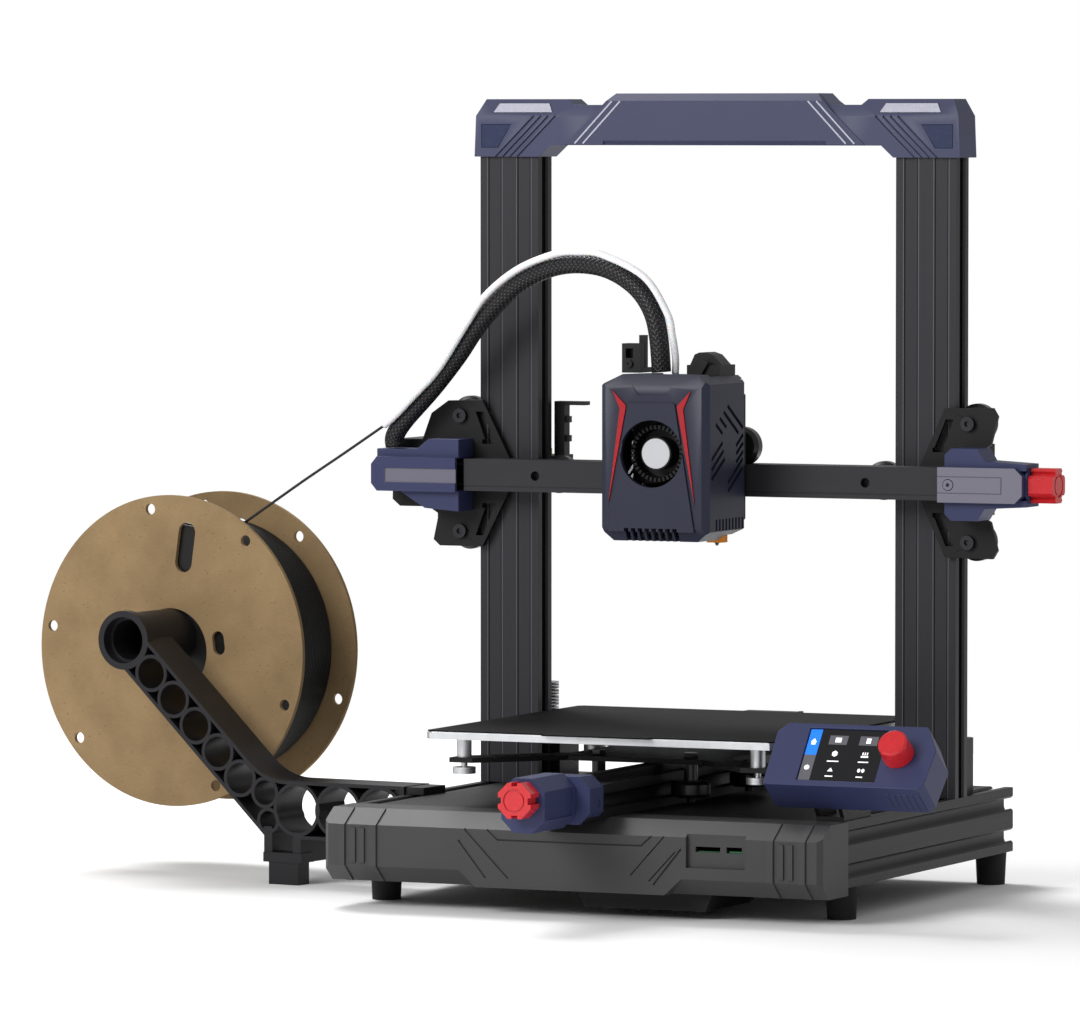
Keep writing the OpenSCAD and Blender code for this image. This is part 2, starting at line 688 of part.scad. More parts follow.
y_motor_w = 42.3;
y_motor_l = 34;
module y_motor() {
    x1 = -10;
    color("#161618") translate([x1 - y_motor_l, y_drive_y, ybelt_z]) rotate([0, 90, 0])
        difference() {
            cut_box([y_motor_w, y_motor_w, y_motor_l], 3.5);
            translate([0, 0, y_motor_l - 3]) cylinder(r = 3, h = 5, $fn = 32);
        }
    // angle plate that carries the motor on the end of the rail
    color("#2c2b2e") difference() {
        union() {
            block([x1, yrail_rear, ybelt_z - y_motor_w / 2], [x1 + 2.5, y_drive_y + y_motor_w / 2, ybelt_z + y_motor_w / 2]);
            block([x1, yrail_rear, yrail_z0], [yrail_w / 2, yrail_rear + 2.5, yrail_z0 + prof]);
        }
        bar_x(y_drive_y, ybelt_z, 11, x1 - 1, x1 + 9);
        block([-5, yrail_rear - 1, yrail_z0 + 4], [5, yrail_rear + 9, 120]);
    }
}

module y_belt() {
    color("#202022") translate([-belt_w / 2, y_idler_y, ybelt_z]) rotate([90, 0, 90])
        linear_extrude(belt_w) belt_2d(y_drive_y - y_idler_y);
}

// ---------- Z axis ----------

z_motor_w = 35.2;
z_motor_h = 34;
z_motor_z = rail_z1;
module z_motors() {
    color("#161618") for (s = [-1, 1]) translate([s * screw_x, screw_y, z_motor_z]) difference() {
        stepper(z_motor_w, z_motor_h, 11);
        translate([0, 0, z_motor_h - 6]) cylinder(r = 2.5 + fit, h = 20, $fn = 32);
    }
}

screw_z1 = upright_z1 - 32;
coupler_r = 9.5;
coupler_z0 = z_motor_z + z_motor_h + 2.5;
coupler_h = 25;
module lead_screw(s) {
    translate([s * screw_x, screw_y, 0]) {
        color("#c6c7c9") translate([0, 0, coupler_z0 + coupler_h / 2]) 
            cylinder(r = screw_r, h = screw_z1 - coupler_z0 - coupler_h / 2, $fn = 48);
        color("#a9abae") difference() {
            translate([0, 0, coupler_z0]) cylinder(r = coupler_r, h = coupler_h, $fn = 64);
            translate([0, 0, coupler_z0 + coupler_h / 2]) cylinder(r = screw_r, h = coupler_h, $fn = 48);
            translate([0, 0, coupler_z0 - 1]) cylinder(r = 2.5, h = coupler_h / 2, $fn = 32);
            for (z = [5, 9, 16, 20]) translate([0, 0, coupler_z0 + z]) difference() {
                cylinder(r = coupler_r + 1, h = 0.9, $fn = 64);
                translate([0, 0, -1]) cylinder(r = coupler_r - 2.6, h = 3, $fn = 64);
            }
        }
        color("#c6c7c9") translate([0, 0, coupler_z0 - 7]) cylinder(r = 2.5, h = 7 + coupler_h / 2 - 1, $fn = 32);
    }
}

module lead_screw_left() lead_screw(-1);
module lead_screw_right() lead_screw(1);

// ---------- screen ----------

screen_at = [hw + 9, -rail_front - 10, rail_z1 + 40.3];
lcd_at = [-6.5, 0.5];
lcd_size = [50, 37];
dial_at = [29, 2];
dial_r = 9.5;
dial_l = 13;
module on_screen() {
    translate(screen_at) rotate([screen_tilt, 0, 0]) children();
}

module screen_2d(in) {
    x = screen_w / 2 - in;
    y = screen_h / 2 - in;
    polygon([[-x, -y + 1], [-x + 3, -y], [x - 5, -y], [x - 2, -y + 4], [x, y - 16], [x - 9, y],
             [-x + 6, y], [-x, y - 6]]);
}

module screen_housing() {
    color("#3a4066") on_screen() difference() {
        union() {
            translate([0, 0, -screen_t]) linear_extrude(screen_t) screen_2d(0);
            translate([24, -screen_h / 2 + 0.5, -screen_t + 3]) for (i = [0:5])
                translate([4 * i, -1.2, 0]) cube([2, 2, screen_t - 9]);
        }
        translate([0, 0, -screen_t - 1]) linear_extrude(screen_t - 1.6) screen_2d(wall);
        translate([lcd_at[0], lcd_at[1], -4]) linear_extrude(6) square(lcd_size, center = true);
        translate([dial_at[0], dial_at[1], -9]) cylinder(r = 3.6, h = 12, $fn = 40);
    }
}

module screen_glass() {
    color("#0d0e12") on_screen() translate([lcd_at[0], lcd_at[1], -3.4]) linear_extrude(2.4)
        square([lcd_size[0] - 0.4, lcd_size[1] - 0.4], center = true);
    // circuit board behind the glass, held on four posts of the housing
    color("#1f5a34") on_screen() translate([0, 0, -9]) linear_extrude(1.6)
        square([screen_w - 24, screen_h - 14], center = true);
    // encoder that the dial turns
    color("#a9abae") on_screen() translate([dial_at[0], dial_at[1], -7.4]) 
        linear_extrude(4.7) square([12, 12], center = true);
}

module screen_knob() {
    color("#c8242c") on_screen() translate([dial_at[0], dial_at[1], 0]) {
        translate([0, 0, gap]) cylinder(r1 = dial_r + 0.4, r2 = dial_r - 0.6, h = dial_l - 1, $fn = 72);
        translate([0, 0, gap + dial_l - 1]) cylinder(r1 = dial_r - 0.6, r2 = dial_r - 1.6, h = 1, $fn = 72);
        translate([0, 0, -2.2]) cylinder(r = 3, h = 3, $fn = 32);
    }
}

module screen_bracket() {
    x0 = hw - prof + 1;
    color("#222225") difference() {
        union() {
            block([x0, -rail_front + 2, rail_z1], [hw - 1, -rail_front + 44, rail_z1 + 2.5]);
            for (x = [x0, hw - 3.5]) along_x(x, x + 2.5) translate([-rail_front, rail_z1])
                polygon([[2, 2.4], [28, 2.4], [15, 28], [12.6, 28], [-2.4, 8.8]]);
        }
        translate([hw - prof / 2, -rail_front + 33, 0]) cylinder(r = 2.6, h = 200, $fn = 32);
    }
    color("#17171a") translate([hw - prof / 2, -rail_front + 33, rail_z1 + 2.5]) cylinder(r = 4.2, h = 2.6, $fn = 40);
}

// ---------- spool holder ----------

arm_at = [-367, -90, 0];
tube_z = 148.7;
tube_len = 134;
spool_y0 = 55;                   // from the arm's front to the spool's first flange
spool_z = tube_z + tube_r + gap - spool_bore;
diag_turn = 43.8;
diag_pitch = 22.9;
lattice_w = 2.2;
module on_arm() {
    translate(arm_at) rotate([0, 0, arm_turn]) children();
}

module ring_2d(x, z, r, t = lattice_w) {
    translate([x, z]) difference() {
        circle(r = r, $fn = 64);
        circle(r = r - t, $fn = 64);
    }
}

// The arm's outline, in its own X and Z: the slanted reach, then the level foot bar.
arm_end = 207.3;                 // from the tube to the side of the base
bar_top = 65;
bar_low = 31;
bend_x = 121.3;
bend_r = 38.9;
module arm_2d() {
    diag_len = 4.9 * diag_pitch + 8;
    translate([0, tube_z]) rotate(-diag_turn) {
        for (s = [-1, 1]) translate([10, s * 11.6 - lattice_w / 2])
            square([s > 0 ? 108.6 : diag_len + 30, lattice_w]);
        for (i = [1:5]) ring_2d(diag_pitch * i + 6.2, 0, 11.8);
    }
    ring_2d(105.5, bar_top - 8, 9.9);
    ring_2d(108, 39.6, 8.2);
    for (i = [0:2]) ring_2d(129 + 30.4 * i, 47.3, 16.9);
    translate([bend_x, bar_top - lattice_w]) square([arm_end - bend_x, lattice_w]);
    // the bend that leads from one to the other
    translate([bend_x, bar_top + bend_r]) intersection() {
        difference() {
            circle(r = bend_r + lattice_w, $fn = 128);
            circle(r = bend_r, $fn = 128);
        }
        polygon([[0.1, 0], [-80 * sin(diag_turn), -80 * cos(diag_turn)], [0.1, -60]]);
    }
    translate([128, bar_low - lattice_w]) square([arm_end - 128, lattice_w]);
    translate([arm_end - 3, bar_low - lattice_w]) square([3, bar_top - bar_low + lattice_w]);
    // legs of the foot
    translate([105, 14]) square([6, 22]);
    translate([126, 14]) square([6, 19]);
}

module spool_arm() {
    color("#1f1e22") on_arm() {
        difference() {
            union() {
                along_y(0, arm_d) difference() {
                    arm_2d();
                    translate([0, tube_z]) circle(r = tube_r - 1, $fn = 64);
                }
                bar_y(0, tube_z, tube_r, 0, tube_len, 96);
                bar_y(0, tube_z, tube_r + 1.6, 0, 6, 96);
                // hook that rests on the side rail
                block([arm_end - 8, 2, rail_z1 - 4], [arm_end + 13, arm_d - 2, bar_top - 0.4]);
            }
            bar_y(0, tube_z, tube_r - 2.4, -1, 8, 96);
            bar_y(0, tube_z, tube_r - 4.2, 7, 30, 96);
            bar_y(0, tube_z, tube_r - 2.4, 29, tube_len + 1, 96);
            // the end lies flat against the side rail
            rotate([0, 0, -arm_turn]) translate(-arm_at) block([-hw, -150, 0], [-100, -40, rail_z1]);
        }
        // foot on the bench
        block([108.5, 0, 0], [130, 13, 14.5]);
        block([105, -1, 14], [133, 14, 20]);
    }
}

core_t = 3;                      // wall of the cardboard core
module flange_holes() {
    for (g = [75.7, -44.3, -164.3], d = [-24, 24]) rotate(g + d)
        translate([spool_r - 8, 0]) circle(r = 3.5, $fn = 32);
    translate([11, 66]) rotate(-8) {
        for (s = [-1, 1]) translate([0, 9.7 * s]) circle(r = 6.2, $fn = 32);
        square([12.4, 19.4], center = true);
    }
    translate([36, 6]) rotate(8) {
        for (s = [-1, 1]) translate([0, 3.2 * s]) circle(r = 4.3, $fn = 32);
        square([8.6, 6.4], center = true);
    }
}

module cardboard_spool() {
    color("#a98a60") on_arm() translate([0, 0, spool_z]) {
        for (y = [spool_y0, spool_y0 + spool_w - flange_t]) along_y(y, y + flange_t) difference() {
            circle(r = spool_r, $fn = 128);
            circle(r = spool_bore, $fn = 96);
            flange_holes();
        }
        along_y(spool_y0 + flange_t, spool_y0 + spool_w - flange_t) difference() {
            circle(r = spool_bore + core_t, $fn = 96);
            circle(r = spool_bore, $fn = 96);
        }
    }
}

module filament_winding() {
    color("#1a1a1b") on_arm() translate([0, 0, spool_z])
        along_y(spool_y0 + flange_t + gap, spool_y0 + spool_w - flange_t - gap) difference() {
            circle(r = wound_r, $fn = 128);
            circle(r = spool_bore + core_t + fit, $fn = 96);
        }
}

// ---------- gantry ----------

beam_x0 = beam_in - hw;
beam_x1 = hw + beam_out;
beam_y0 = -plate_t - 3 - prof;
beam_y1 = -plate_t - 3;
beam_yc = (beam_y0 + beam_y1) / 2;
plate_y0 = beam_y1;
plate_y1 = plate_y0 + plate_t;
beam_top = beam_z + prof / 2;
beam_low = beam_z - prof / 2;
wheel_out = hw + wheel_off;
wheel_in = hw - upright_w - wheel_off;
wheel_y = prof / 2;
x_belt_y = beam_yc;
x_motor_x = -hw - 37.5;
x_idler_x = hw + 34.5;
z_wheel_at = [for (s = [-1, 1]) each [[s * wheel_out, beam_z + wheel_gap / 2],
    [s * wheel_out, beam_z - wheel_gap / 2], [s * wheel_in, beam_z]]];

module x_beam() {
    color("#363438") difference() {
        translate([0, beam_yc, beam_z]) along_x(beam_x0, beam_x1) profile_2d(prof, prof,
            [[0, prof / 2, 0], [0, -prof / 2, 180], [prof / 2, 0, -90]], [0]);
        block([beam_x0 - 1, beam_y0 - 1, beam_low + 2.6], [beam_x1 + 1, beam_y0 + 0.5, beam_low + 3.4]);
        for (s = [-1, 1]) bar_y(s * (wheel_in + 1.2), beam_z, 3, beam_y0 - 1, beam_y0 + 6, 32);
    }
}

shelf_z = 262;                   // underside of the shelf that carries the nut
shelf_t = 3;
web_x = hw + 2.2;
module plate_holes(s) {
    for (w = z_wheel_at) if (w[0] * s > 0) bar_y(w[0], w[1], axle_r + fit, plate_y0 - 1, plate_y1 + 1, 32);
}

// Sheet that reaches round the outside of the upright to the nut behind it.
module nut_arm(s) {
    difference() {
        union() {
            block([s > 0 ? web_x : -web_x - plate_t, plate_y1 - 0.1, beam_z - 22],
                  [s > 0 ? web_x + plate_t : -web_x, screw_y + 14, beam_z + 22]);
            block([s > 0 ? screw_x - 14 : -web_x - plate_t, prof + 2.4, shelf_z],
                  [s > 0 ? web_x + plate_t : -screw_x + 14, screw_y + 14, shelf_z + shelf_t]);
        }
        translate([s * screw_x, screw_y, shelf_z - 1]) cylinder(r = 5.4, h = 6, $fn = 40);
    }
}

// Tongue behind the beam that carries the inner wheel's axle.
module plate_tongue(s) {
    x = [s * (wheel_in - 7), s * (hw - upright_w / 2)];
    block([min(x), plate_y0, beam_z - 8], [max(x), plate_y1, beam_z + 8]);
}

module left_end_plate() {
    color("#2e2d31") difference() {
        union() {
            along_y(plate_y0, plate_y1) translate([-hw, beam_z]) polygon([
                [22.8, prof / 2], [4.1, 46.3], [-19.6, 45.6], [-31.3, 37.5], [-37.5, 21], [-57.5, 21],
                [-58.5, -17], [-53.3, -21.4], [-33.5, -21.4], [-27, -25.3], [-27, -28.6], [-29.9, -41.9],
                [-25.5, -45.8], [4.1, -45.8], [22.8, -prof / 2]]);
            nut_arm(-1);
            plate_tongue(-1);
        }
        plate_holes(-1);
        plate_slots(-1);
        translate([0, 0, beam_z]) bar_y(x_motor_x, 0, 11.2, plate_y0 - 1, plate_y1 + 1);
    }
}

// Slanted slots with a short hooked end, one in each half of a plate.
module plate_slots(s) {
    for (m = [1, -1]) along_y(plate_y0 - 1, plate_y1 + 1) translate([s * hw, beam_z]) scale([s, m]) {
        polygon([[-13, 18.6], [-7, 18.6], [0.6, 38.8], [-4.4, 38.8]]);
        translate([-13, 18.6]) square([9, 2.8]);
    }
}

module right_end_plate() {
    color("#2e2d31") difference() {
        union() {
            along_y(plate_y0, plate_y1) for (m = [1, -1]) translate([hw, beam_z]) scale([1, m])
                polygon([[-21.5, -0.1], [-21.5, prof / 2], [-5.1, 45.7], [26.4, 46.2], [29.6, 41],
                         [25.1, 23.6], [19.8, 20.4], [23.1, 14], [23.1, -0.1]]);
            nut_arm(1);
            plate_tongue(1);
        }
        plate_holes(1);
        plate_slots(1);
    }
}

nut_r = screw_r + fit;
module lead_nuts() {
    color("#b08d3e") for (s = [-1, 1]) translate([s * screw_x, screw_y, shelf_z]) difference() {
        union() {
            translate([0, 0, -3.5]) cylinder(r = 11, h = 3.5, $fn = 64);
            translate([0, 0, -11]) cylinder(r = 5.2, h = 18, $fn = 48);
        }
        translate([0, 0, -12]) cylinder(r = nut_r, h = 24, $fn = 48);
        for (a = [45:90:315]) rotate(a) translate([8, 0, -4]) cylinder(r = 1.7, h = 5, $fn = 24);
    }
}

module z_wheels() {
    color("#141416") for (w = z_wheel_at)
        translate([w[0], wheel_y, w[1]]) rotate([90, 0, 0]) v_wheel();
}

module gantry_bolts() {
    color("#8c8f94") for (w = z_wheel_at) {
        outer = abs(w[0]) > hw;
        // the inner axles are let into the plates from behind
        if (outer) translate([w[0], plate_y0, w[1]]) screw_y_axis(wheel_y + wheel_half + 6 - plate_y0);
        else bar_y(w[0], w[1], axle_r, outer ? 0 : beam_y1, wheel_y + wheel_half + 6, 32);
        difference() {
            bar_y(w[0], w[1], 4, plate_y1, wheel_y - wheel_half, 32);
            bar_y(w[0], w[1], axle_r + 0.01, plate_y1 - 1, wheel_y, 32);
        }
        bar_y(w[0], w[1], 4.6, wheel_y + wheel_half, wheel_y + wheel_half + 4, 6);
    }
}

// Upstand on the left shelf: the finger that trips the height switch.
module z_flag() {
    color("#161618") {
        x = -screw_x + 14;
        block([x, prof + 3, shelf_z], [x + 7, prof + 11, shelf_z + 35.1]);
        block([x, prof + 3, shelf_z + 35], [x + 21, prof + 11, shelf_z + 37.4]);
        for (z = [12, 24]) block([x + 6.9, prof + 5, shelf_z + z], [x + 9.4, prof + 9, shelf_z + z + 4]);
    }
}

cover_yf = beam_y0 - 6.4;                // front of both end covers
module end_band_2d(x0, x1, cut) {
    polygon([[x0 + cut, beam_low - 0.8], [x1, beam_low - 0.8], [x1, beam_top + 0.8], [x0 + cut, beam_top + 0.8],
             [x0, beam_top - 4], [x0, beam_low + 4]]);
}

module left_end_cover() {
    color("#3f4570") difference() {
        union() {
            along_y(cover_yf, plate_y0) end_band_2d(-hw - 61, -hw - 2.5, 4);
            along_y(cover_yf + 5, plate_y0) translate([-hw, beam_z]) {
                polygon([[-59, 9], [-2.5, 9], [-2.5, 22], [-23.5, 22], [-31.5, 15.6], [-59, 15.6]]);
                polygon([[-44.5, -9], [-41.5, -12], [-26, -21.3], [-2.5, -23.1], [-2.5, -9]]);
            }
        }
        // room for the pulley and belt
        block([x_motor_x - belt_room - 3, cover_yf + 3, beam_z - belt_room - 1],
              [-hw - 1.5, plate_y0 + 1, beam_z + belt_room + 1]);
        // recessed band on the face
        block([-hw - 51.5, cover_yf - 1, beam_z - 5.2], [-hw - 1.5, cover_yf + 0.8, beam_z + 3.6]);
    }
}

x_motor_w = 42.3;
x_motor_l = 34;
module x_motor() {
    color("#161618") translate([x_motor_x, plate_y1, beam_z]) rotate([-90, 0, 0]) difference() {
        cut_box([x_motor_w, x_motor_w, x_motor_l], 3.5);
        translate([0, 0, -1]) cylinder(r = 3.2, h = 5, $fn = 32);
    }
}

module x_motor_pulley() {
    color("#b8babd") translate([x_motor_x, x_belt_y + 4.4, beam_z]) rotate([90, 0, 0]) pulley(2.5, 12);
    color("#8e9094") bar_y(x_motor_x, beam_z, 2.5, x_belt_y - 7.6, plate_y1 + 2, 32);
}

module x_belt() {
    color("#202022") translate([x_motor_x, x_belt_y + belt_w / 2, beam_z]) rotate([90, 0, 0])
        linear_extrude(belt_w) belt_2d(x_idler_x - x_motor_x);
}

module x_idler_pulley() {
    color("#b8babd") translate([x_idler_x, x_belt_y + 4.4, beam_z]) rotate([90, 0, 0]) pulley(2.5 + fit, 8.8);
    color("#8e9094") bar_y(x_idler_x, beam_z, 2.5, x_belt_y - 5.5, x_belt_y + 5.5, 32);
}

x_end = hw + 55.5;
module x_tensioner_housing() {
    color("#3f4570") difference() {
        union() {
            along_y(cover_yf, plate_y0) polygon([[hw + 0.5, beam_low - 0.8], [x_end - 5, beam_low - 0.8],
                [x_end, beam_low + 4], [x_end, beam_top - 4], [x_end - 5, beam_top + 0.8], [hw + 0.5, beam_top + 0.8]]);
            along_y(cover_yf + 5, plate_y0) for (m = [1, -1]) translate([hw, beam_z]) scale([1, m])
                polygon([[3.3, 9], [3.3, 18], [7.5, 22], [24.8, 22], [29.5, 14.5], [56.5, 13], [56.5, 9]]);
            along_x(x_end - 0.1, x_end + 1.6) translate([beam_yc, beam_z]) cut_rect([prof + 2, prof + 2], 5);
        }
        block([hw - 0.5, beam_yc - prof / 2 - 0.1, beam_z - prof / 2 - fit],
              [beam_x1 + 0.2, plate_y0 + 1, beam_z + prof / 2 + fit]);
        block([hw - 0.5, x_belt_y - 6, beam_z - belt_room],
              [x_idler_x + belt_room + 2, x_belt_y + 6, beam_z + belt_room]);
        bar_y(x_idler_x, beam_z, 2.6, x_belt_y - 8, x_belt_y + 8, 32);
        bar_x(beam_yc, beam_z, 2.6, x_idler_x, x_end + 4, 32);
        // outline of the panel on the face
        for (m = [1, -1]) block([hw + 0.5, cover_yf - 1, beam_z + m * 5 - 0.3],
                                [hw + 42.5, cover_yf + 0.6, beam_z + m * 5 + 0.3]);
        block([hw + 41.9, cover_yf - 1, beam_z - 5], [hw + 42.5, cover_yf + 0.6, beam_z + 5]);
        bar_y(hw + 7.5, beam_z, 3.6, cover_yf - 1, cover_yf + 2, 32);
    }
    color("#8c8f94") translate([hw + 7.5, cover_yf + 2, beam_z]) screw_y_axis(0.5, 1.6, 3.2, 2.4);
}

module x_tension_knob() {
    color("#cf3a43") translate([x_end + 1.6 + gap, beam_yc, beam_z]) rotate([0, 90, 0]) rotate(22.5)
        grip_knob(knob_r, 16, 12);
}

// ---------- print head ----------

head_x0 = head_x - head_w / 2;
head_x1 = head_x + head_w / 2;
head_z1 = head_z0 + head_h;
back_y0 = beam_y0 - 5;
back_y1 = beam_y0 - 2;
head_wheel_at = [[head_x - 27, beam_top + wheel_off], [head_x + 27, beam_top + wheel_off],
                 [head_x, beam_low - wheel_off]];

module head_front_2d(in) {
    x0 = head_x0 + in;
    x1 = head_x1 - in;
    z0 = head_z0 + in;
    z1 = head_z1 - in;
    polygon([[x0, z0 + 8], [x0 + 8, z0], [x1 - 8, z0], [x1, z0 + 6], [x1, z1 - 6],
             [x1 - 8, z1], [x0 + 14, z1], [x0, z1 - 7]]);
}

module head_side_2d(in) {
    y0 = head_front + in;
    polygon([[y0 + 4, head_z0 + in], [y0, head_z0 + 8], [y0, head_z1 - 8], [y0 + 4, head_z1 - in],
             [back_y0, head_z1 - in - 1], [back_y0, head_z0 + 8], [back_y0 - 22, head_z0 + in]]);
}

fan_x = head_x - 1;
fan_z = 272.5;
panel_top = 15.5;                // half width of the raised panel at its top
panel_low = 28.5;
panel_z = [225, 303.5];
// Side slots: where each starts in Y and Z, its slant and its length.
grille = [[-61.6, 300.5, -31, 28], [-67.6, 296.9, -31, 27], [-73.6, 293.3, -31, 12], [-79.6, 289.7, -31, 12],
    [-47, 275.5, 31, 13], [-47, 270.4, 31, 13], [-47, 265.3, 31, 13], [-59.5, 253.4, 31, 27], [-59.5, 248, 31, 27],
    [-85, 268, 31, 20], [-85, 262, 31, 22], [-85, 256, 31, 24]];
module head_cover() {
    color("#3f4463") difference() {
        union() {
            intersection() {
                along_y(head_front, back_y0) head_front_2d(0);
                along_x(head_x0 - 1, head_x1 + 1) head_side_2d(0);
                translate([head_x, (head_front + back_y0) / 2, head_z0 - 1])
                    cut_box([head_w, back_y0 - head_front, head_h + 2], 4);
            }
            // raised panel round the fan
            along_y(head_front - 1.4, head_front + 1) polygon([
                [fan_x - panel_top, panel_z[1]], [fan_x + panel_top, panel_z[1]],
                [fan_x + panel_low, panel_z[0]], [fan_x - panel_low, panel_z[0]]]);
        }
        intersection() {
            along_y(head_front + wall, back_y0 + 1) head_front_2d(wall);
            along_x(head_x0 - 1, head_x1 + 1) head_side_2d(wall);
        }
        block([head_x0 + wall, back_y0 - 4, head_z0 + 9], [head_x1 - wall, back_y0 + 1, head_z1 - 4]);
        bar_y(fan_x, fan_z, fan_r, head_front - 4, head_front + 6, 96);
        // comb of slots along the lower edge
        for (i = [0:7]) block([fan_x - 18 + 4.6 * i, head_front - 3, head_z0 - 2],
                              [fan_x - 15 + 4.6 * i, head_front + 8, head_z0 + 8]);
        // badge recess above the panel
        along_y(head_front - 1, head_front + 0.8) polygon([[fan_x - 14, 315], [fan_x + 14, 315],
            [fan_x + 9, 308.5], [fan_x - 9, 308.5]]);
        // seats of the two red flashes
        for (s = [-1, 1]) flash(s, 0.2);
        // slanted slots in both flanks
        for (x = [head_x0 - 1, head_x1 - wall - 1], g = grille)
            translate([x, g[0], g[1]]) rotate([g[2], 0, 0]) cube([wall + 2, g[3], 2.4]);
        for (x = [head_x0 - 1, head_x1 - wall - 1], i = [0:8])
            block([x, -79 + 5 * i, 225.5], [x + wall + 2, -76.6 + 5 * i, 232.5]);
        // opening in the top for the cable and the filament's way in
        block([head_x - 20, -74, head_z1 - 8], [head_x1 - 6, back_y0 + 1, head_z1 + 1]);
        // opening below for the hot end
        block([nozzle_x - 11, nozzle_y - 9, head_z0 - 2], [nozzle_x + 8.5, nozzle_y + 9, head_z0 + 6]);
    }
}

// Red flash beside the panel.
module flash(s, c) {
    translate([fan_x, 0, 0]) scale([s, 1, 1]) along_y(head_front - 0.9 - (c > 0 ? 1 : 0), head_front + 1 + c)
        polygon([[panel_top + 1.6 - c, 302 + c], [panel_top + 10.5 + c, 311 + c], [panel_top + 5.6 + c, 300],
                 [28.5 + 3 * c, 243 - 20 * c], [panel_top + 1.9 - c, 299]]);
}

module head_inserts() {
    color("#b3202a") for (s = [-1, 1]) flash(s, 0);
}

blower_y0 = -86;
module blower_wheel() {
    color("#131315") translate([fan_x, blower_y0 + 15, fan_z]) rotate([90, 0, 0]) {
        difference() {
            cylinder(r = fan_r - 3.2, h = 13, $fn = 96);
            translate([0, 0, 2]) cylinder(r = fan_r - 5.6, h = 20, $fn = 96);
            for (i = [0:35]) rotate(10 * i) translate([fan_r - 6, -0.55, 3]) cube([5, 1.1, 12]);
        }
        translate([0, 0, 1]) cylinder(r = 10, h = 13.4, $fn = 72);
    }
    color("#c9cacd") translate([fan_x, blower_y0 + 0.6, fan_z]) rotate([90, 0, 0])
        cylinder(r = 9.2, h = 0.6, $fn = 72);
}

module head_back_plate() {
    color("#2e2d31") difference() {
        union() {
            along_y(back_y0, back_y1) translate([head_x, head_z0 + head_h / 2 - 1])
                cut_rect([head_w - 4, head_h - 10], 8);
            // carrier of the part fan, with the motor's hub inside the wheel
            along_y(blower_y0 + 15 + gap, blower_y0 + 18) translate([fan_x, fan_z]) square([44, 38], center = true);
            block([fan_x - 20, blower_y0 + 17, fan_z - 12], [fan_x - 6, back_y0 + 1, fan_z + 12]);
            // tongue that grips the belt in the beam's upper slot
            block([head_x - 6, back_y1 - 0.1, beam_top + 0.8], [head_x + 6, beam_yc + 2.4, beam_top + 3.4]);
            block([head_x - 6, beam_yc - 2.4, beam_z + belt_pitch_r + belt_t / 2 + 0.01],
                  [head_x + 6, beam_yc + 2.4, beam_top + 3]);
        }
        for (w = head_wheel_at) bar_y(w[0], w[1], axle_r + fit, back_y0 - 1, back_y1 + 1, 32);
    }
}

module head_wheels() {
    for (w = head_wheel_at) {
        color("#141416") translate([w[0], beam_yc, w[1]]) rotate([90, 0, 0]) v_wheel();
        color("#8c8f94") {
            bar_y(w[0], w[1], axle_r, back_y0 + 0.2, beam_yc + wheel_half + 1.4, 32);
            difference() {
                bar_y(w[0], w[1], 4, back_y1, beam_yc - wheel_half, 32);
                bar_y(w[0], w[1], axle_r + 0.01, back_y1 - 1, beam_yc, 32);
            }
        }
    }
}

feed_at = [-2.4, -56.2];
ext_x = [6, head_x1 - 6.5];
ext_y = [back_y0 - 27, back_y0 - 3];
module extruder() {
    // gear case, with the round motor beside it and the latch on top
    color("#1b1b1e") difference() {
        union() {
            block([ext_x[0], ext_y[0], 284], [ext_x[1], ext_y[1], 326]);
            along_y(ext_y[0] + 4, ext_y[1] - 6) translate([ext_x[0], 325])
                polygon([[0, 0], [3.5, 7.4], [6.5, 8.6], [11, 8.8], [16, 7.2], [21.9, 1], [21.9, 0]]);
            bar_y(head_x - 14, 305.3, 12.4, ext_y[0] + 6, ext_y[1], 72);
            block([head_x - 14, ext_y[0] + 8, 296], [ext_x[0] + 1, ext_y[1] - 4, 312]);
            block([feed_at[0] - 5, feed_at[1] - 5, 308], [ext_x[0] + 1, ext_y[1] - 10, 320]);
        }
        translate([nozzle_x, nozzle_y, 280]) cylinder(r = 2.1, h = 42, $fn = 32);
        translate([feed_at[0], feed_at[1], 310]) cylinder(r = 1, h = 20, $fn = 32);
    }
    color("#b9bbbd") translate([ext_x[0] + 3.4, ext_y[0] - 2.4, 316]) rotate([0, 31, 0]) cube([4, 2.2, 16]);
}

module hot_end() {
    color("#b9bbbd") translate([nozzle_x, nozzle_y, 0]) difference() {
        union() {
            translate([0, 0, 242]) cylinder(r = 5, h = 42, $fn = 48);
            for (z = [244:4:280]) translate([0, 0, z]) cylinder(r = 9.5, h = 1.6, $fn = 64);
            translate([0, 0, 236]) cylinder(r = 2.2, h = 7, $fn = 32);
        }
        translate([0, 0, 200]) cylinder(r = 1.1, h = 100, $fn = 24);
    }
    color("#a58a4c") translate([nozzle_x, nozzle_y, 0]) difference() {
        union() {
            translate([-4, -3.5, 225]) cube([8, 7, 11]);
            translate([0, 0, nozzle_z + 3]) cylinder(r = 3.2, h = 7.1, $fn = 6);
            translate([0, 0, nozzle_z]) cylinder(r1 = 0.7, r2 = 2.4, h = 3.01, $fn = 40);
        }
        translate([0, 0, nozzle_z - 1]) cylinder(r = 0.25, h = 4, $fn = 24);
        translate([0, 0, nozzle_z + 2]) cylinder(r = 1.1, h = 30, $fn = 24);
    }
}

module nozzle_sock() {
    color("#d8862b") translate([nozzle_x, nozzle_y, 217]) difference() {
        translate([0, 0, 0]) cut_box([11.4, 10, 16.6], 2);
        translate([0, 0, 1.2]) linear_extrude(20) square([8.2, 7.2], center = true);
        translate([0, 0, -1]) cylinder(r = 3.9, h = 20, $fn = 40);
    }
}

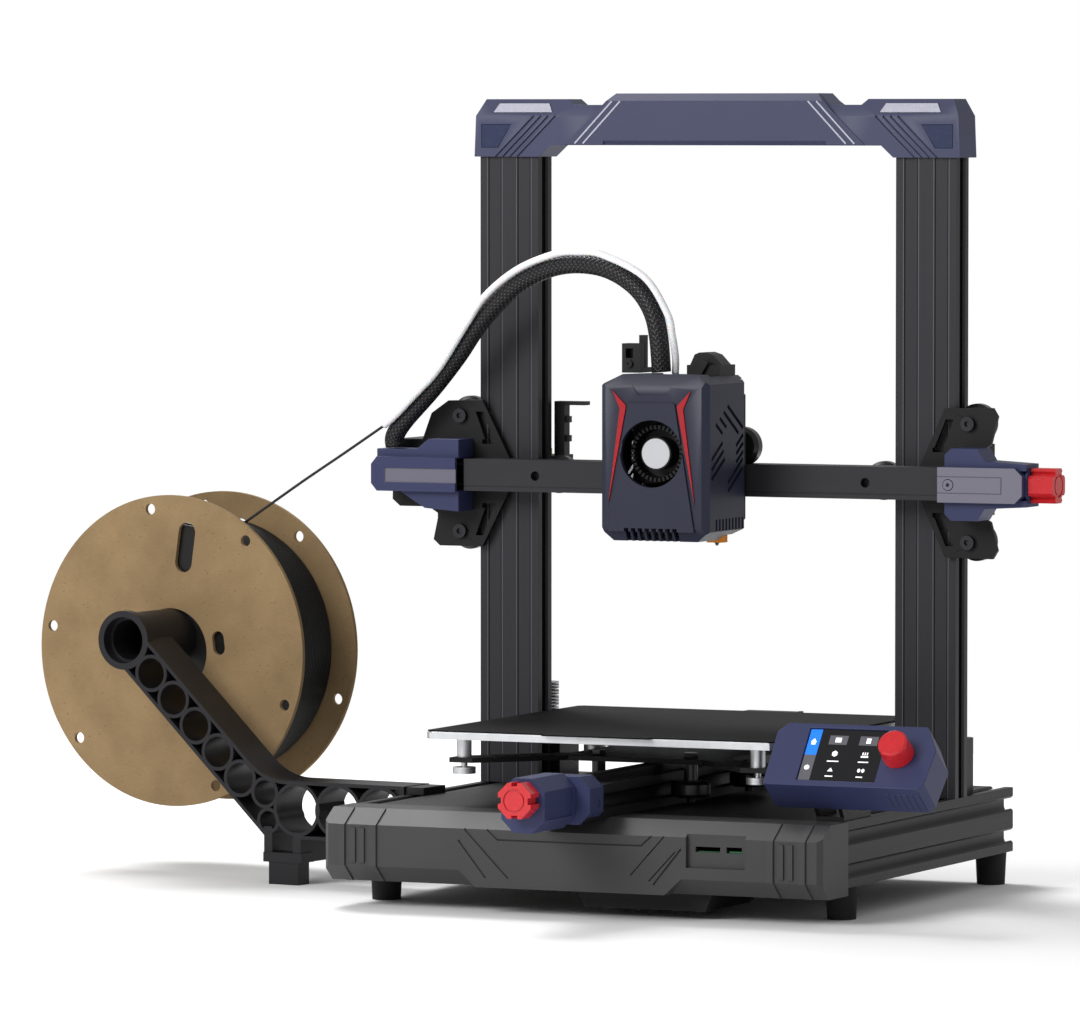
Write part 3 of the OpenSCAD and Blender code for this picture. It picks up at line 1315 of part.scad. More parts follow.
clamp_x = -24;
module cable_clamp() {
    color("#18181a") difference() {
        union() {
            block([clamp_x - 10, -66, head_z1], [clamp_x + 2.2, -44, head_z1 + 3]);
            block([clamp_x - 10, -66, head_z1 + 2], [clamp_x + 2, -56, head_z1 + 18]);
            block([clamp_x - 2, -58, head_z1 + 2], [clamp_x + 2.2, -54, head_z1 + 23]);
        }
        block([clamp_x - 7.5, -72, head_z1 + 9], [clamp_x - 2.5, -60, head_z1 + 15]);
        bar_y(clamp_x - 5, head_z1 + 5.5, 1.4, -80, -40, 24);
    }
    color("#c4c6c9") translate([clamp_x - 5, -66, head_z1 + 5.5]) screw_y_axis(4, 1.3, 2.4, 1.6);
}

// ---------- bed ----------

car_z = [yrail_z0 + prof + 6, yrail_z0 + prof + 9];
car_wheel_y = 45;
bed_z0 = bed_top - sheet_t - hotbed_t - 0.4;
bed_wheel_x = yrail_w / 2 + wheel_off;
bed_wheel_at = [for (sx = [-1, 1], sy = [-1, 1]) [sx * bed_wheel_x, bed_y + sy * car_wheel_y]];
post_at = [for (sx = [-1, 1], sy = [-1, 1]) [sx * (bed_w / 2 - 18), bed_y + sy * (bed_d / 2 - 18)]];

// A middle plate with an arm to each spring post.
module carriage_2d() {
    x = bed_w / 2 - 11;
    y = bed_d / 2 - 11;
    a = 15.5;
    for (m = [1, -1]) scale([m, 1]) polygon([[-x, -y], [-x + a, -y], [x, y - a], [x, y], [x - a, y], [-x, -y + a]]);
    square([104, 120], center = true);
}

module bed_carriage() {
    color("#232226") difference() {
        union() {
            translate([0, bed_y, car_z[0]]) linear_extrude(car_z[1] - car_z[0]) carriage_2d();
            // belt clamp under the middle
            block([-9, bed_y - 12, ybelt_z + belt_pitch_r + belt_t / 2 + 0.01], [9, bed_y + 12, car_z[0]]);
        }
        for (w = bed_wheel_at) translate([w[0], w[1], 0]) cylinder(r = axle_r + fit, h = 200, $fn = 32);
        for (p = post_at) translate([p[0], p[1], 0]) cylinder(r = 2.1, h = 200, $fn = 32);
    }
}

module bed_wheels() {
    for (w = bed_wheel_at) translate([w[0], w[1], 0]) {
        color("#141416") translate([0, 0, yrail_zc]) v_wheel();
        color("#8c8f94") {
            translate([0, 0, yrail_zc - wheel_half - 3]) cylinder(r = axle_r, h = car_z[1] - yrail_zc + wheel_half + 3, $fn = 32);
            difference() {
                translate([0, 0, yrail_zc + wheel_half]) cylinder(r = 4.2, h = car_z[0] - yrail_zc - wheel_half, $fn = 40);
                translate([0, 0, yrail_zc]) cylinder(r = axle_r + 0.01, h = 30, $fn = 32);
            }
            translate([0, 0, car_z[1]]) cylinder(r = 4.6, h = 3, $fn = 6);
        }
    }
}

module heated_bed() {
    color("#d8d9dc") difference() {
        translate([0, bed_y, bed_z0]) cut_box([bed_w, bed_d, hotbed_t], 3);
        for (p = post_at) translate([p[0], p[1], 0]) cylinder(r = 2.1, h = 200, $fn = 32);
    }
    // spring posts with their nuts, and the magnet mat on top
    color("#8c8f94") for (p = post_at) translate([p[0], p[1], 0]) {
        difference() {
            translate([0, 0, car_z[1]]) cylinder(r = 4.5, h = bed_z0 - car_z[1], $fn = 40);
            translate([0, 0, car_z[1] - 1]) cylinder(r = 2.05, h = 30, $fn = 32);
        }
        translate([0, 0, car_z[0] - 7]) cylinder(r = 1.95, h = bed_z0 + 2 - car_z[0] + 7, $fn = 32);
        translate([0, 0, car_z[0] - 7]) cylinder(r = 7, h = 4, $fn = 48);
    }
    color("#2a2a2c") translate([0, bed_y, bed_z0 + hotbed_t]) cut_box([bed_w - 2, bed_d - 2, 0.4], 3);
}

module build_sheet() {
    color("#1c1c1e") translate([0, bed_y, bed_top - sheet_t]) linear_extrude(sheet_t) union() {
        cut_rect([bed_w, bed_d - 2], 3);
        translate([-35, -bed_d / 2 - 5]) square([70, 7]);
    }
}

// ---------- cable, feed tube and filament ----------

// Points along each route, chosen by hand.
sleeve_route = [[-211.5, -18, 271], [-211.1, -18.8, 277.5], [-203, -21.2, 287.8], [-182.3, -24, 308.1],
    [-163.6, -28, 328.2], [-145, -32, 351], [-122.7, -37, 370.2], [-107.8, -40.5, 379],
    [-89.2, -45, 385.3], [-70.9, -49, 387.3], [-52.7, -53, 385.4], [-37.4, -56, 379.6],
    [-24.4, -58.5, 370.3], [-15.5, -60.5, 357.8], [-11.3, -61.5, 342.9], [-9.3, -61.8, 321.5]];
tube_route = [[-215.1, -26, 284.3], [-205.7, -29, 291], [-196.3, -31.2, 299.2], [-187.2, -33, 307.3],
    [-177.3, -34.8, 316.1], [-168.1, -36.4, 326.9], [-151.4, -39.6, 349.6], [-137.3, -41.5, 367.3],
    [-113.8, -45.5, 383.6], [-86, -52, 393.2], [-67.7, -56, 394.7], [-49.8, -59.5, 393],
    [-20.7, -62.5, 379.8], [-5.4, -62.5, 357.9], [-2.4, -61.2, 344.5], [-1.5, -58.2, 331],
    [feed_at[0], feed_at[1], 320.6]];
strand_route = [[-322, -35, 213], [-296, -35, 230], [-268, -32.5, 249], [-240, -29, 267.5],
    [-215.5, -26.1, 284]];
sleeve_r = 6;
feed_r = 2.2;
strand_r = 0.9;

// A tube of n sides and m rings per stretch along smooth route p.
function at(p, i) = p[max(0, min(len(p) - 1, i))];
function smooth(p, i, t) = 0.5 * (2 * at(p, i) + (at(p, i + 1) - at(p, i - 1)) * t
    + (2 * at(p, i - 1) - 5 * at(p, i) + 4 * at(p, i + 1) - at(p, i + 2)) * t * t
    + (3 * at(p, i) - at(p, i - 1) - 3 * at(p, i + 1) + at(p, i + 2)) * t * t * t);
function path(p, m) = [for (i = [0:len(p) - 2], k = [0:m - 1]) smooth(p, i, k / m), p[len(p) - 1]];
function unit(v) = v / norm(v);
function heading(q, i) = unit(q[min(len(q) - 1, i + 1)] - q[max(0, i - 1)]);
module tube(p, r, n, m) {
    q = path(p, m);
    rings = [for (i = [0:len(q) - 1]) let (d = heading(q, i), side = unit(cross(d, [0, 1, 0])),
        up = cross(d, side)) [for (k = [0:n - 1]) q[i] + r * (cos(360 * k / n) * side + sin(360 * k / n) * up)]];
    pts = [for (g = rings, v = g) v];
    last = (len(q) - 1) * n;
    faces = concat([[for (k = [0:n - 1]) k]], [[for (k = [0:n - 1]) last + n - 1 - k]],
        [for (i = [0:len(q) - 2], k = [0:n - 1], h = [0, 1]) let (a = i * n + k, b = i * n + (k + 1) % n)
            h == 0 ? [a, a + n, b] : [b, a + n, b + n]]);
    polyhedron(pts, faces);
}

module cable_sleeve() color("#151517") tube(sleeve_route, sleeve_r, 10, 2);
module feed_tube() color("#e8e9ec") tube(tube_route, feed_r, 8, 2);
module filament_strand() color("#1a1a1b") tube(strand_route, strand_r, 8, 3);

base_rails();
front_cover();
rear_cover();
base_top_plate();
base_pan();
power_supply();
main_board();
power_inlet();
power_switch();
feet();
uprights();
top_bar();
top_bar_inlays();
y_rail();
y_tensioner_housing();
y_tension_knob();
y_idler_pulley();
y_drive_pulley();
y_motor();
y_belt();
z_motors();
lead_screw_left();
lead_screw_right();
screen_bracket();
screen_housing();
screen_glass();
screen_knob();
spool_arm();
cardboard_spool();
filament_winding();
x_beam();
left_end_plate();
right_end_plate();
lead_nuts();
z_wheels();
gantry_bolts();
z_flag();
left_end_cover();
x_motor();
x_motor_pulley();
x_belt();
x_idler_pulley();
x_tensioner_housing();
x_tension_knob();
head_back_plate();
head_wheels();
head_cover();
head_inserts();
blower_wheel();
extruder();
hot_end();
nozzle_sock();
cable_clamp();
bed_carriage();
bed_wheels();
heated_bed();
build_sheet();
cable_sleeve();
feed_tube();
filament_strand();
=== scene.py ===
"""Finishes and modelled pieces for a desktop filament printer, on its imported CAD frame."""

import json
from math import cos, pi, radians, sin, tau

import bpy
from bpy.props import FloatProperty, FloatVectorProperty, IntProperty, PointerProperty
from mathutils import Matrix, Vector
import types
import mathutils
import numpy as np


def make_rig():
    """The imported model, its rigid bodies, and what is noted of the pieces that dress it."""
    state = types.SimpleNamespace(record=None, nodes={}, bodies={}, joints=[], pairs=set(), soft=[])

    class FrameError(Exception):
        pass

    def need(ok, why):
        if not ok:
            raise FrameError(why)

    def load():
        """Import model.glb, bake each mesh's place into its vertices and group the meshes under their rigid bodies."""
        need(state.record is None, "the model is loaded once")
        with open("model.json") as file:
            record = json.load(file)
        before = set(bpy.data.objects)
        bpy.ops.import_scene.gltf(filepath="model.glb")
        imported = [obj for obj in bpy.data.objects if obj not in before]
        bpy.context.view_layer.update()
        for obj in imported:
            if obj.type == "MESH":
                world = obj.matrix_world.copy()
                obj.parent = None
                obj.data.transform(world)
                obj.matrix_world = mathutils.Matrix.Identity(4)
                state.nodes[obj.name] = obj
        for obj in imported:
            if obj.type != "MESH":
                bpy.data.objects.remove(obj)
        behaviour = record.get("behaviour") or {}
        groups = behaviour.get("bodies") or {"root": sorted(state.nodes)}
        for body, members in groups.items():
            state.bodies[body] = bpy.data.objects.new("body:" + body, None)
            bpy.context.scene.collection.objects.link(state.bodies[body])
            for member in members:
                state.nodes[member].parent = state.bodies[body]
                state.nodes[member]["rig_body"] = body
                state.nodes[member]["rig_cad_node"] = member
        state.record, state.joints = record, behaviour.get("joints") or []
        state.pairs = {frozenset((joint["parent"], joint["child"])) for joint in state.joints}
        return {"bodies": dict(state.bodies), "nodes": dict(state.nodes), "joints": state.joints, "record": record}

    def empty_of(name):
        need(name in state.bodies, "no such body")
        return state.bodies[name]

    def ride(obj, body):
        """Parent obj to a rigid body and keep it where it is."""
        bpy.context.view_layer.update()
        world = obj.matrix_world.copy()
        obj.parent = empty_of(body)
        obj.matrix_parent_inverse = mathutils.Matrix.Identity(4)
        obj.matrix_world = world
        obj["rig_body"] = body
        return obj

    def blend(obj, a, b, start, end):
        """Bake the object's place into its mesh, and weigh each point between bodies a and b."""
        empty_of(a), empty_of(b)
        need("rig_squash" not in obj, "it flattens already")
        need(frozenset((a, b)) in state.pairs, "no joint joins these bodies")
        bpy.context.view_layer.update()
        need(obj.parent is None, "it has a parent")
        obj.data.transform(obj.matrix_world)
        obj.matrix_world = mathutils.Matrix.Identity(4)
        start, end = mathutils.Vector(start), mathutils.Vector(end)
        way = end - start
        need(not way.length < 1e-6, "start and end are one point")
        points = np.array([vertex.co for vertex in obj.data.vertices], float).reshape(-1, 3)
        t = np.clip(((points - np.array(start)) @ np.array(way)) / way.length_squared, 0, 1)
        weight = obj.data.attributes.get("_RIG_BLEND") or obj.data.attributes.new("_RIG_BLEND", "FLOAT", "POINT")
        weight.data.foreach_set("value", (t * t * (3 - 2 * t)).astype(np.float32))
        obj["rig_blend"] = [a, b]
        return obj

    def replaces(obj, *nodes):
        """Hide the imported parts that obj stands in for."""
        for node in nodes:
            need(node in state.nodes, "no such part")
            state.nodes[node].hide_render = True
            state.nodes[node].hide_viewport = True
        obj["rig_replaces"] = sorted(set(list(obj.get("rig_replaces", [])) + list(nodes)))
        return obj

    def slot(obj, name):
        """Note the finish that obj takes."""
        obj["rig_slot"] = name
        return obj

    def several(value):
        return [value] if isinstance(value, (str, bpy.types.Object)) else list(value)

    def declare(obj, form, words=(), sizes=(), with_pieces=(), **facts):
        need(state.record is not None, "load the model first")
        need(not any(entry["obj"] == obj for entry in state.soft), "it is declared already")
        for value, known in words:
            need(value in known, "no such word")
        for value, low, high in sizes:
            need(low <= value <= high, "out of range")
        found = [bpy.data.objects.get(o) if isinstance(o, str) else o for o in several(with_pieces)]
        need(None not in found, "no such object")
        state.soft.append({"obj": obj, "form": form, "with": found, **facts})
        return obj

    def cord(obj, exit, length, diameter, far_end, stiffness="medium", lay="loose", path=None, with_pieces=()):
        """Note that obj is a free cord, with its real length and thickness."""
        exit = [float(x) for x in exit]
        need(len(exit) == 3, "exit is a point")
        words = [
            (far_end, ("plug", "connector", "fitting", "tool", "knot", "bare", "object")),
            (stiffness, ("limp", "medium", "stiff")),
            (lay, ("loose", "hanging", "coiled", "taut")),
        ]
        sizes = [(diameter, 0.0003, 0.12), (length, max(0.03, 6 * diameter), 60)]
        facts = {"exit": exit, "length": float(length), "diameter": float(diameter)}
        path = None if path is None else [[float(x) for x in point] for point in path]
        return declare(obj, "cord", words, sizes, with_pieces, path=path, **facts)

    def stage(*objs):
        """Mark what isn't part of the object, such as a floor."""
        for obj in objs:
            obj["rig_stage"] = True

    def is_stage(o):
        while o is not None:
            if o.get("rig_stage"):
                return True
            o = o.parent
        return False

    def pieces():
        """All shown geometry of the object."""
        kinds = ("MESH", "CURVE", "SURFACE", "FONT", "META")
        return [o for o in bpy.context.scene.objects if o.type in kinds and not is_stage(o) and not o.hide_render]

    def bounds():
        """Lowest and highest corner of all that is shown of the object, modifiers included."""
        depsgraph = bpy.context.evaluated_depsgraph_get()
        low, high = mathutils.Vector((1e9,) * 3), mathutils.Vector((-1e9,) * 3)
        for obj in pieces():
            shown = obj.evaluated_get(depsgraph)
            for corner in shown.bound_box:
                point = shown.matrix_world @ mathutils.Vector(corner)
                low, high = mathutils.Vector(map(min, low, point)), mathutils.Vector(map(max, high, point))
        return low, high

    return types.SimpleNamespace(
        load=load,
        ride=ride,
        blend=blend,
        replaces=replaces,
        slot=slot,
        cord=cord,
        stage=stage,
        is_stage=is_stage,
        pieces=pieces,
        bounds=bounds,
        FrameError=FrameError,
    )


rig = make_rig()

bl_info = {
    "name": "Desktop filament printer",
    "version": (1, 0, 0),
    "blender": (4, 5, 0),
    "location": "View3D > Sidebar > Printer",
    "description": "Gives a desktop filament printer its finishes, cords, winding and lit screen",
    "category": "Object",
}

MM = 0.001
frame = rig.load()
NODES = frame["nodes"]
JOINTS = {joint["name"]: joint for joint in frame["joints"]}

# sizes of the CAD part, in metres, that the finishes have to follow
UPRIGHT_W = 40 * MM
CHANNEL_W = 9.2 * MM  # the shallow channels down the front of the uprights
CHANNEL_D = 0.5 * MM
HUB_FRONT = -85.41 * MM  # Y just behind the face of the disc on the blower's hub
SPOOL_START = 55 * MM  # from the spin joint's origin to the first flange
SPOOL_W = 66 * MM
FLANGE_T = 3 * MM
WINDING_R = 82 * MM
WINDING_GAP = 0.3 * MM  # between the winding and each flange


def linear(code):
    """An sRGB hex colour as linear red, green and blue."""
    parts = [int(code[i : i + 2], 16) / 255 for i in (1, 3, 5)]
    return [p / 12.92 if p <= 0.04045 else ((p + 0.055) / 1.055) ** 2.4 for p in parts]


def colour(name, description, code):
    """A colour property with that sRGB default."""
    return FloatVectorProperty(
        name=name, description=description, subtype="COLOR", size=3,
        min=0, max=1, default=linear(code),
    )


def length(name, description, millimetres, low, high):
    """A length property in metres, given in millimetres."""
    return FloatProperty(
        name=name, description=description, unit="LENGTH", precision=5,
        default=millimetres * MM, min=low * MM, max=high * MM,
    )


# ---------------------------------------------------------------- settings


class PrinterColours(bpy.types.PropertyGroup):
    navy: colour("Navy", "Blue-grey of the end covers and the screen", "#32375a")
    # the bar's colour is the navy painted paler: a painted highlight on the top bar
    bar: colour("Bar", "Paler blue-grey of the top bar", "#3f425d")
    inlay: colour("Inlay", "Pale blue-grey of the plates and lines", "#b6b7c4")
    head: colour("Head", "Darker blue-grey of the print head's cover", "#27293a")
    charcoal: colour("Charcoal", "Grey of the front cover", "#3d3d3e")
    profile: colour("Profile", "Warm black of the anodised profiles", "#302f32")
    steel: colour("Sheet steel", "Black of the powder-coated plates", "#111112")
    red: colour("Red", "Red of the knobs and the dial", "#c8252b")
    flash: colour("Flash", "Darker red of the head's two flashes", "#a51c24")
    kraft: colour("Kraft", "Brown of the cardboard flanges", "#8b7454")
    filament: colour("Filament", "Black of the wound filament", "#111110")
    sheet: colour("Sheet", "Black of the textured build sheet", "#121213")
    sock: colour("Sock", "Orange of the silicone sock", "#e08a25")
    screen_blue: colour("Screen blue", "Blue of the lit menu tab", "#1f6fd6")


class PrinterSizes(bpy.types.PropertyGroup):
    edge: length("Edge", "Rounding of moulded edges", 0.45, 0.1, 1.0)
    metal_edge: length("Metal edge", "Rounding of metal edges", 0.2, 0.05, 0.6)
    strand: length("Strand", "Diameter of the filament", 1.75, 1.0, 3.0)
    sleeve: length("Sleeve", "Diameter of the braided sleeve", 12, 6, 20)
    tube: length("Feed tube", "Diameter of the feed tube", 4.4, 3, 8)
    braid: IntProperty(
        name="Braid", description="Yarns round the sleeve in each direction",
        default=22, min=8, max=40,
    )


def colours():
    return bpy.context.scene.printer_colours


def sizes():
    return bpy.context.scene.printer_sizes


# --------------------------------------------------------------- materials


def add(tree, kind, inputs=None, **settings):
    """Adds a node, sets it up, and fills or links its inputs."""
    new = tree.nodes.new(kind)
    for key, value in settings.items():
        setattr(new, key, value)
    for key, value in (inputs or {}).items():
        if isinstance(value, bpy.types.NodeSocket):
            tree.links.new(value, new.inputs[key])
        else:
            new.inputs[key].default_value = value
    return new


def rgba(rgb, factor=1.0):
    """A linear colour times a factor, with full alpha."""
    return [min(1.0, c * factor) for c in rgb[:3]] + [1.0]


class Finish:
    """A material with one Principled shader, and short ways to add to it. Sizes are
    in metres, measured in the piece's object coordinates."""

    def __init__(self, name, base, roughness, metallic=0.0, **sockets):
        self.material = bpy.data.materials.new(name)
        self.material.use_nodes = True
        self.material.diffuse_color = rgba(base)
        self.base = base
        self.tree = self.material.node_tree
        self.tree.nodes.clear()
        self.shader = self.add("ShaderNodeBsdfPrincipled", {
            "Base Color": rgba(base), "Roughness": roughness, "Metallic": metallic,
            "Specular IOR Level": 0.25, **sockets,
        })
        self.add("ShaderNodeOutputMaterial", {"Surface": self.shader.outputs[0]})
        self.place = self.add("ShaderNodeTexCoord").outputs["Object"]

    def add(self, kind, inputs=None, **settings):
        """Adds a node to the material's own tree."""
        return add(self.tree, kind, inputs, **settings)

    def noise(self, size, detail, **inputs):
        """Noise of 0 to 1 in features of that size."""
        return self.add("ShaderNodeTexNoise", {
            "Vector": self.place, "Scale": 1 / size, "Detail": detail, **inputs,
        }).outputs[0]

    def cells(self, size):
        """Distance to the nearest of random points about that far apart."""
        return self.add("ShaderNodeTexVoronoi", {
            "Vector": self.place, "Scale": 1 / size,
        }).outputs[0]

    def ribs(self, pitch, axis, **inputs):
        """Waves of 0 to 1 along an axis, one every pitch."""
        return self.add("ShaderNodeTexWave", {
            "Vector": self.place, "Scale": pi / 10 / pitch, "Distortion": 0.0, **inputs,
        }, wave_type="BANDS", bands_direction=axis).outputs["Fac"]

    def mapped(self, **inputs):
        """The object coordinates, turned and stretched."""
        return self.add("ShaderNodeMapping", {"Vector": self.place, **inputs}).outputs[0]

    def maths(self, operation, *values):
        """One step of arithmetic on values or sockets."""
        return self.add("ShaderNodeMath", dict(enumerate(values)), operation=operation).outputs[0]

    def average(self, one, other):
        """Halfway between two values."""
        return self.maths("MULTIPLY", self.maths("ADD", one, other), 0.5)

    def ramp(self, value, low, high):
        """0 below low, 1 above high."""
        return self.add("ShaderNodeMapRange", {
            "Value": value, "From Min": low, "From Max": high,
        }).outputs[0]

    def mixed(self, value, dark, light):
        """A colour between dark and light as value goes from 0 to 1."""
        return self.add("ShaderNodeMix", {"Factor": value, "A": dark, "B": light},
                        data_type="RGBA").outputs["Result"]

    def shades(self, value, dark, light):
        """The base colour times dark where value is 0, times light where it is 1."""
        return self.mixed(value, rgba(self.base, dark), rgba(self.base, light))

    def colour(self, socket):
        """Joins a colour to the shader."""
        self.tree.links.new(socket, self.shader.inputs["Base Color"])

    def roughness(self, value, low, high):
        """Roughness from low to high as value goes from 0 to 1."""
        spread = self.add("ShaderNodeMapRange", {"Value": value, "To Min": low, "To Max": high})
        self.tree.links.new(spread.outputs[0], self.shader.inputs["Roughness"])

    def relief(self, height, depth):
        """Joins a height of 0 to 1 to the shader as relief, depth metres deep."""
        bump = self.add("ShaderNodeBump", {"Height": height, "Distance": depth, "Strength": 1.0})
        self.tree.links.new(bump.outputs[0], self.shader.inputs["Normal"])

    def overpaint(self, mask, base):
        """Paints base where mask is 1, over the colour there is."""
        under = self.shader.inputs["Base Color"].links[0].from_socket
        self.colour(self.mixed(mask, under, rgba(base)))

    def second_tone(self, base, tests):
        """Paints a second colour where every test holds: each is an axis, an edge in
        metres and the side of it, 1 beyond the edge or -1 before it."""
        axes = self.add("ShaderNodeSeparateXYZ", {"Vector": self.place})
        mask = 1.0
        for axis, edge, side in tests:
            compare = "GREATER_THAN" if side > 0 else "LESS_THAN"
            mask = self.maths("MULTIPLY", self.maths(compare, axes.outputs[axis], edge), mask)
        self.overpaint(mask, base)


def moulded_abs(name, base, rough=0.42):
    """Injection-moulded ABS from a spark-eroded mould: fine even grain, soft broad
    highlights, and a faint cloudiness where the melt flowed."""
    look = Finish(name, base, rough, IOR=1.53)
    pits = look.noise(0.6 * MM, 3.0)
    look.colour(look.shades(look.noise(45 * MM, 4.0), 0.88, 1.12))
    look.roughness(pits, rough - 0.07, rough + 0.1)
    look.relief(pits, 0.03 * MM)
    return look


def gloss_abs(name, base, rough=0.24):
    """Self-coloured glossy ABS: a clear highlight with slight orange peel."""
    look = Finish(name, base, rough, IOR=1.54, **{
        "Coat Weight": 0.35, "Coat Roughness": 0.12,
        "Subsurface Weight": 0.04, "Subsurface Scale": 0.6 * MM,
    })
    peel = look.noise(3 * MM, 2.0)
    look.colour(look.shades(peel, 0.9, 1.1))
    look.roughness(peel, rough - 0.05, rough + 0.08)
    look.relief(peel, 0.02 * MM)
    return look


def anodised_aluminium(name, base, axis):
    """Extruded aluminium, blasted and dyed black: a satin sheen with hair-fine die
    lines that run the length of the profile, about 0.5 mm apart."""
    look = Finish(name, base, 0.42, 0.35)
    stretch = [1 / (0.5 * MM)] * 3
    stretch[axis] = 1 / (160 * MM)
    lines = look.noise(1.0, 2.0, Vector=look.mapped(Scale=stretch))
    grain = look.average(lines, look.noise(0.4 * MM, 2.0))
    look.colour(look.shades(grain, 0.75, 1.3))
    look.roughness(grain, 0.3, 0.55)
    look.relief(grain, 0.02 * MM)
    return look


def channel_shade_and_highlight(look, middle):
    """Draws the edges of the two channels down the front of each upright, whose
    middle is given: painted shade as a dark seam inside each edge, where the strip
    begins, and a painted highlight as a pale line outside it, on the corner."""
    axes = look.add("ShaderNodeSeparateXYZ", {"Vector": look.place})
    front = look.maths("LESS_THAN", axes.outputs["Y"], CHANNEL_D + 0.3 * MM)
    # distance from the upright's middle, then from the middle of a channel beside it
    away = look.maths("ABSOLUTE", axes.outputs["X"])
    for step in (middle, UPRIGHT_W / 4):
        away = look.maths("ABSOLUTE", look.maths("SUBTRACT", away, step))
    # painted shade: a dark seam inside each edge; painted highlight: a pale line outside it
    for offset, half, tone in ((-0.4, 0.4, "#0c0b0c"), (0.35, 0.35, "#565359")):
        line = look.maths("COMPARE", away, CHANNEL_W / 2 + offset * MM, half * MM)
        look.overpaint(look.maths("MULTIPLY", line, front), linear(tone))


def powder_coat(name, base, rough=0.5):
    """Powder-coated sheet steel: black with a fine leathery peel, 1 mm across."""
    look = Finish(name, base, rough, IOR=1.5)
    peel = look.noise(1 * MM, 3.0)
    look.colour(look.shades(peel, 0.8, 1.25))
    look.roughness(look.cells(0.7 * MM), rough - 0.1, rough + 0.12)
    look.relief(peel, 0.05 * MM)
    return look


def turned_metal(name, code, rough=0.28):
    """Turned and lightly brushed metal: bright, with fine circular tool marks."""
    look = Finish(name, linear(code), rough, 1.0)
    marks = look.noise(0.35 * MM, 4.0)
    look.colour(look.shades(look.noise(7 * MM, 3.0), 0.82, 1.1))
    look.roughness(marks, rough - 0.08, rough + 0.14)
    look.relief(marks, 0.01 * MM)
    return look


def threaded_steel(name):
    """Rolled trapezoid thread on a steel rod: crests every 2 mm in relief, with a
    painted highlight on each crest and painted shade between them.
    """
    look = Finish(name, linear("#b9bbbe"), 0.25, 1.0)
    crest = look.ribs(2 * MM, "Z")
    # painted highlight on the crests and painted shade between them
    look.colour(look.shades(crest, 0.25, 1.1))
    look.roughness(look.noise(6 * MM, 3.0), 0.2, 0.4)
    look.relief(crest, 0.5 * MM)
    return look


def rubber(name, base, rough=0.75):
    """Moulded rubber or silicone: matt, with a fine dusty mottle."""
    look = Finish(name, base, rough, IOR=1.48)
    dust = look.noise(1.4 * MM, 5.0)
    look.colour(look.shades(dust, 0.8, 1.3))
    look.roughness(dust, rough - 0.1, rough + 0.15)
    look.relief(dust, 0.04 * MM)
    return look


def toothed_belt(name, axis):
    """Neoprene belt with a tooth every 2 mm: matt black, ribbed across its run."""
    look = Finish(name, linear("#1b1b1c"), 0.7)
    look.colour(look.shades(look.noise(2 * MM, 3.0), 0.8, 1.3))
    look.relief(look.ribs(2 * MM, axis), 0.3 * MM)
    return look


def kraft_board(name, base):
    """Pressed kraft board: matt brown with fibres 3 mm long and darker flecks."""
    look = Finish(name, base, 0.88, IOR=1.45)
    layers = []
    for turn, long, wide in ((35, 3, 0.5), (-50, 4, 0.6)):
        stretch = (1 / (long * MM), 1 / (wide * MM), 1 / (wide * MM))
        turned = look.mapped(Rotation=(0, radians(turn), 0), Scale=stretch)
        layers.append(look.noise(1.0, 4.0, Vector=turned))
    fibres = look.average(*layers)
    clouded = look.add("ShaderNodeMix", {
        "Factor": 0.35, "A": look.shades(fibres, 0.78, 1.2), "B": look.noise(30 * MM, 5.0),
    }, data_type="RGBA", blend_type="OVERLAY").outputs["Result"]
    clear = look.ramp(look.cells(5 * MM), 0.05, 0.12)
    look.colour(look.mixed(clear, rgba(base, 0.55), clouded))
    look.relief(fibres, 0.08 * MM)
    return look


def textured_sheet(name, base):
    """Powder-printed build surface: black grit 1.2 mm apart that glints a little.
    The real grit is finer; it is drawn coarse enough to show."""
    look = Finish(name, base, 0.5, **{"Specular IOR Level": 0.1})
    grit = look.noise(1.2 * MM, 6.0, Roughness=0.7)
    look.colour(look.shades(look.ramp(grit, 0.4, 0.7), 0.3, 1.1))
    look.roughness(grit, 0.5, 0.85)
    look.relief(grit, 0.25 * MM)
    return look


def drawn_filament(name, base):
    """Extruded plastic filament: smooth black with a satin shine along the strand."""
    look = Finish(name, base, 0.34, IOR=1.46, **{"Coat Weight": 0.2, "Coat Roughness": 0.2})
    draw = look.noise(9 * MM, 4.0)
    look.colour(look.shades(draw, 0.8, 1.5))
    look.roughness(draw, 0.25, 0.5)
    return look


def braided_yarn(name):
    """Braided monofilament sleeve: black yarns, with a painted highlight as small pale
    glints where they cross. The pattern follows the sleeve's own length and girth."""
    look = Finish(name, linear("#161517"), 0.4, IOR=1.55)
    along = look.add("ShaderNodeUVMap", uv_map="weave").outputs[0]
    waves = []
    for lean in (1, -1):
        turned = look.mapped(Vector=along, Rotation=(0, 0, lean * pi / 4))
        waves.append(look.ribs(1, "X", Vector=turned, Scale=sizes().braid * 0.22))
    over = look.maths("MAXIMUM", *waves)
    # painted highlight: pale glints where the yarns cross
    painted_glint = look.ramp(look.maths("MULTIPLY", *waves), 0.75, 1.0)
    look.colour(look.mixed(painted_glint, rgba(look.base), rgba(linear("#6a686d"))))
    look.roughness(over, 0.7, 0.3)
    look.relief(over, 0.25 * MM)
    return look


def clear_white_tube(name):
    """PTFE tube: milky white, waxy, with light passing a little way in."""
    look = Finish(name, linear("#f2f3f5"), 0.28, IOR=1.38, **{
        "Subsurface Weight": 0.3, "Subsurface Scale": 2 * MM,
        "Coat Weight": 0.3, "Coat Roughness": 0.15,
    })
    milk = look.noise(8 * MM, 3.0)
    look.colour(look.shades(milk, 0.9, 1.0))
    look.roughness(milk, 0.22, 0.4)
    return look


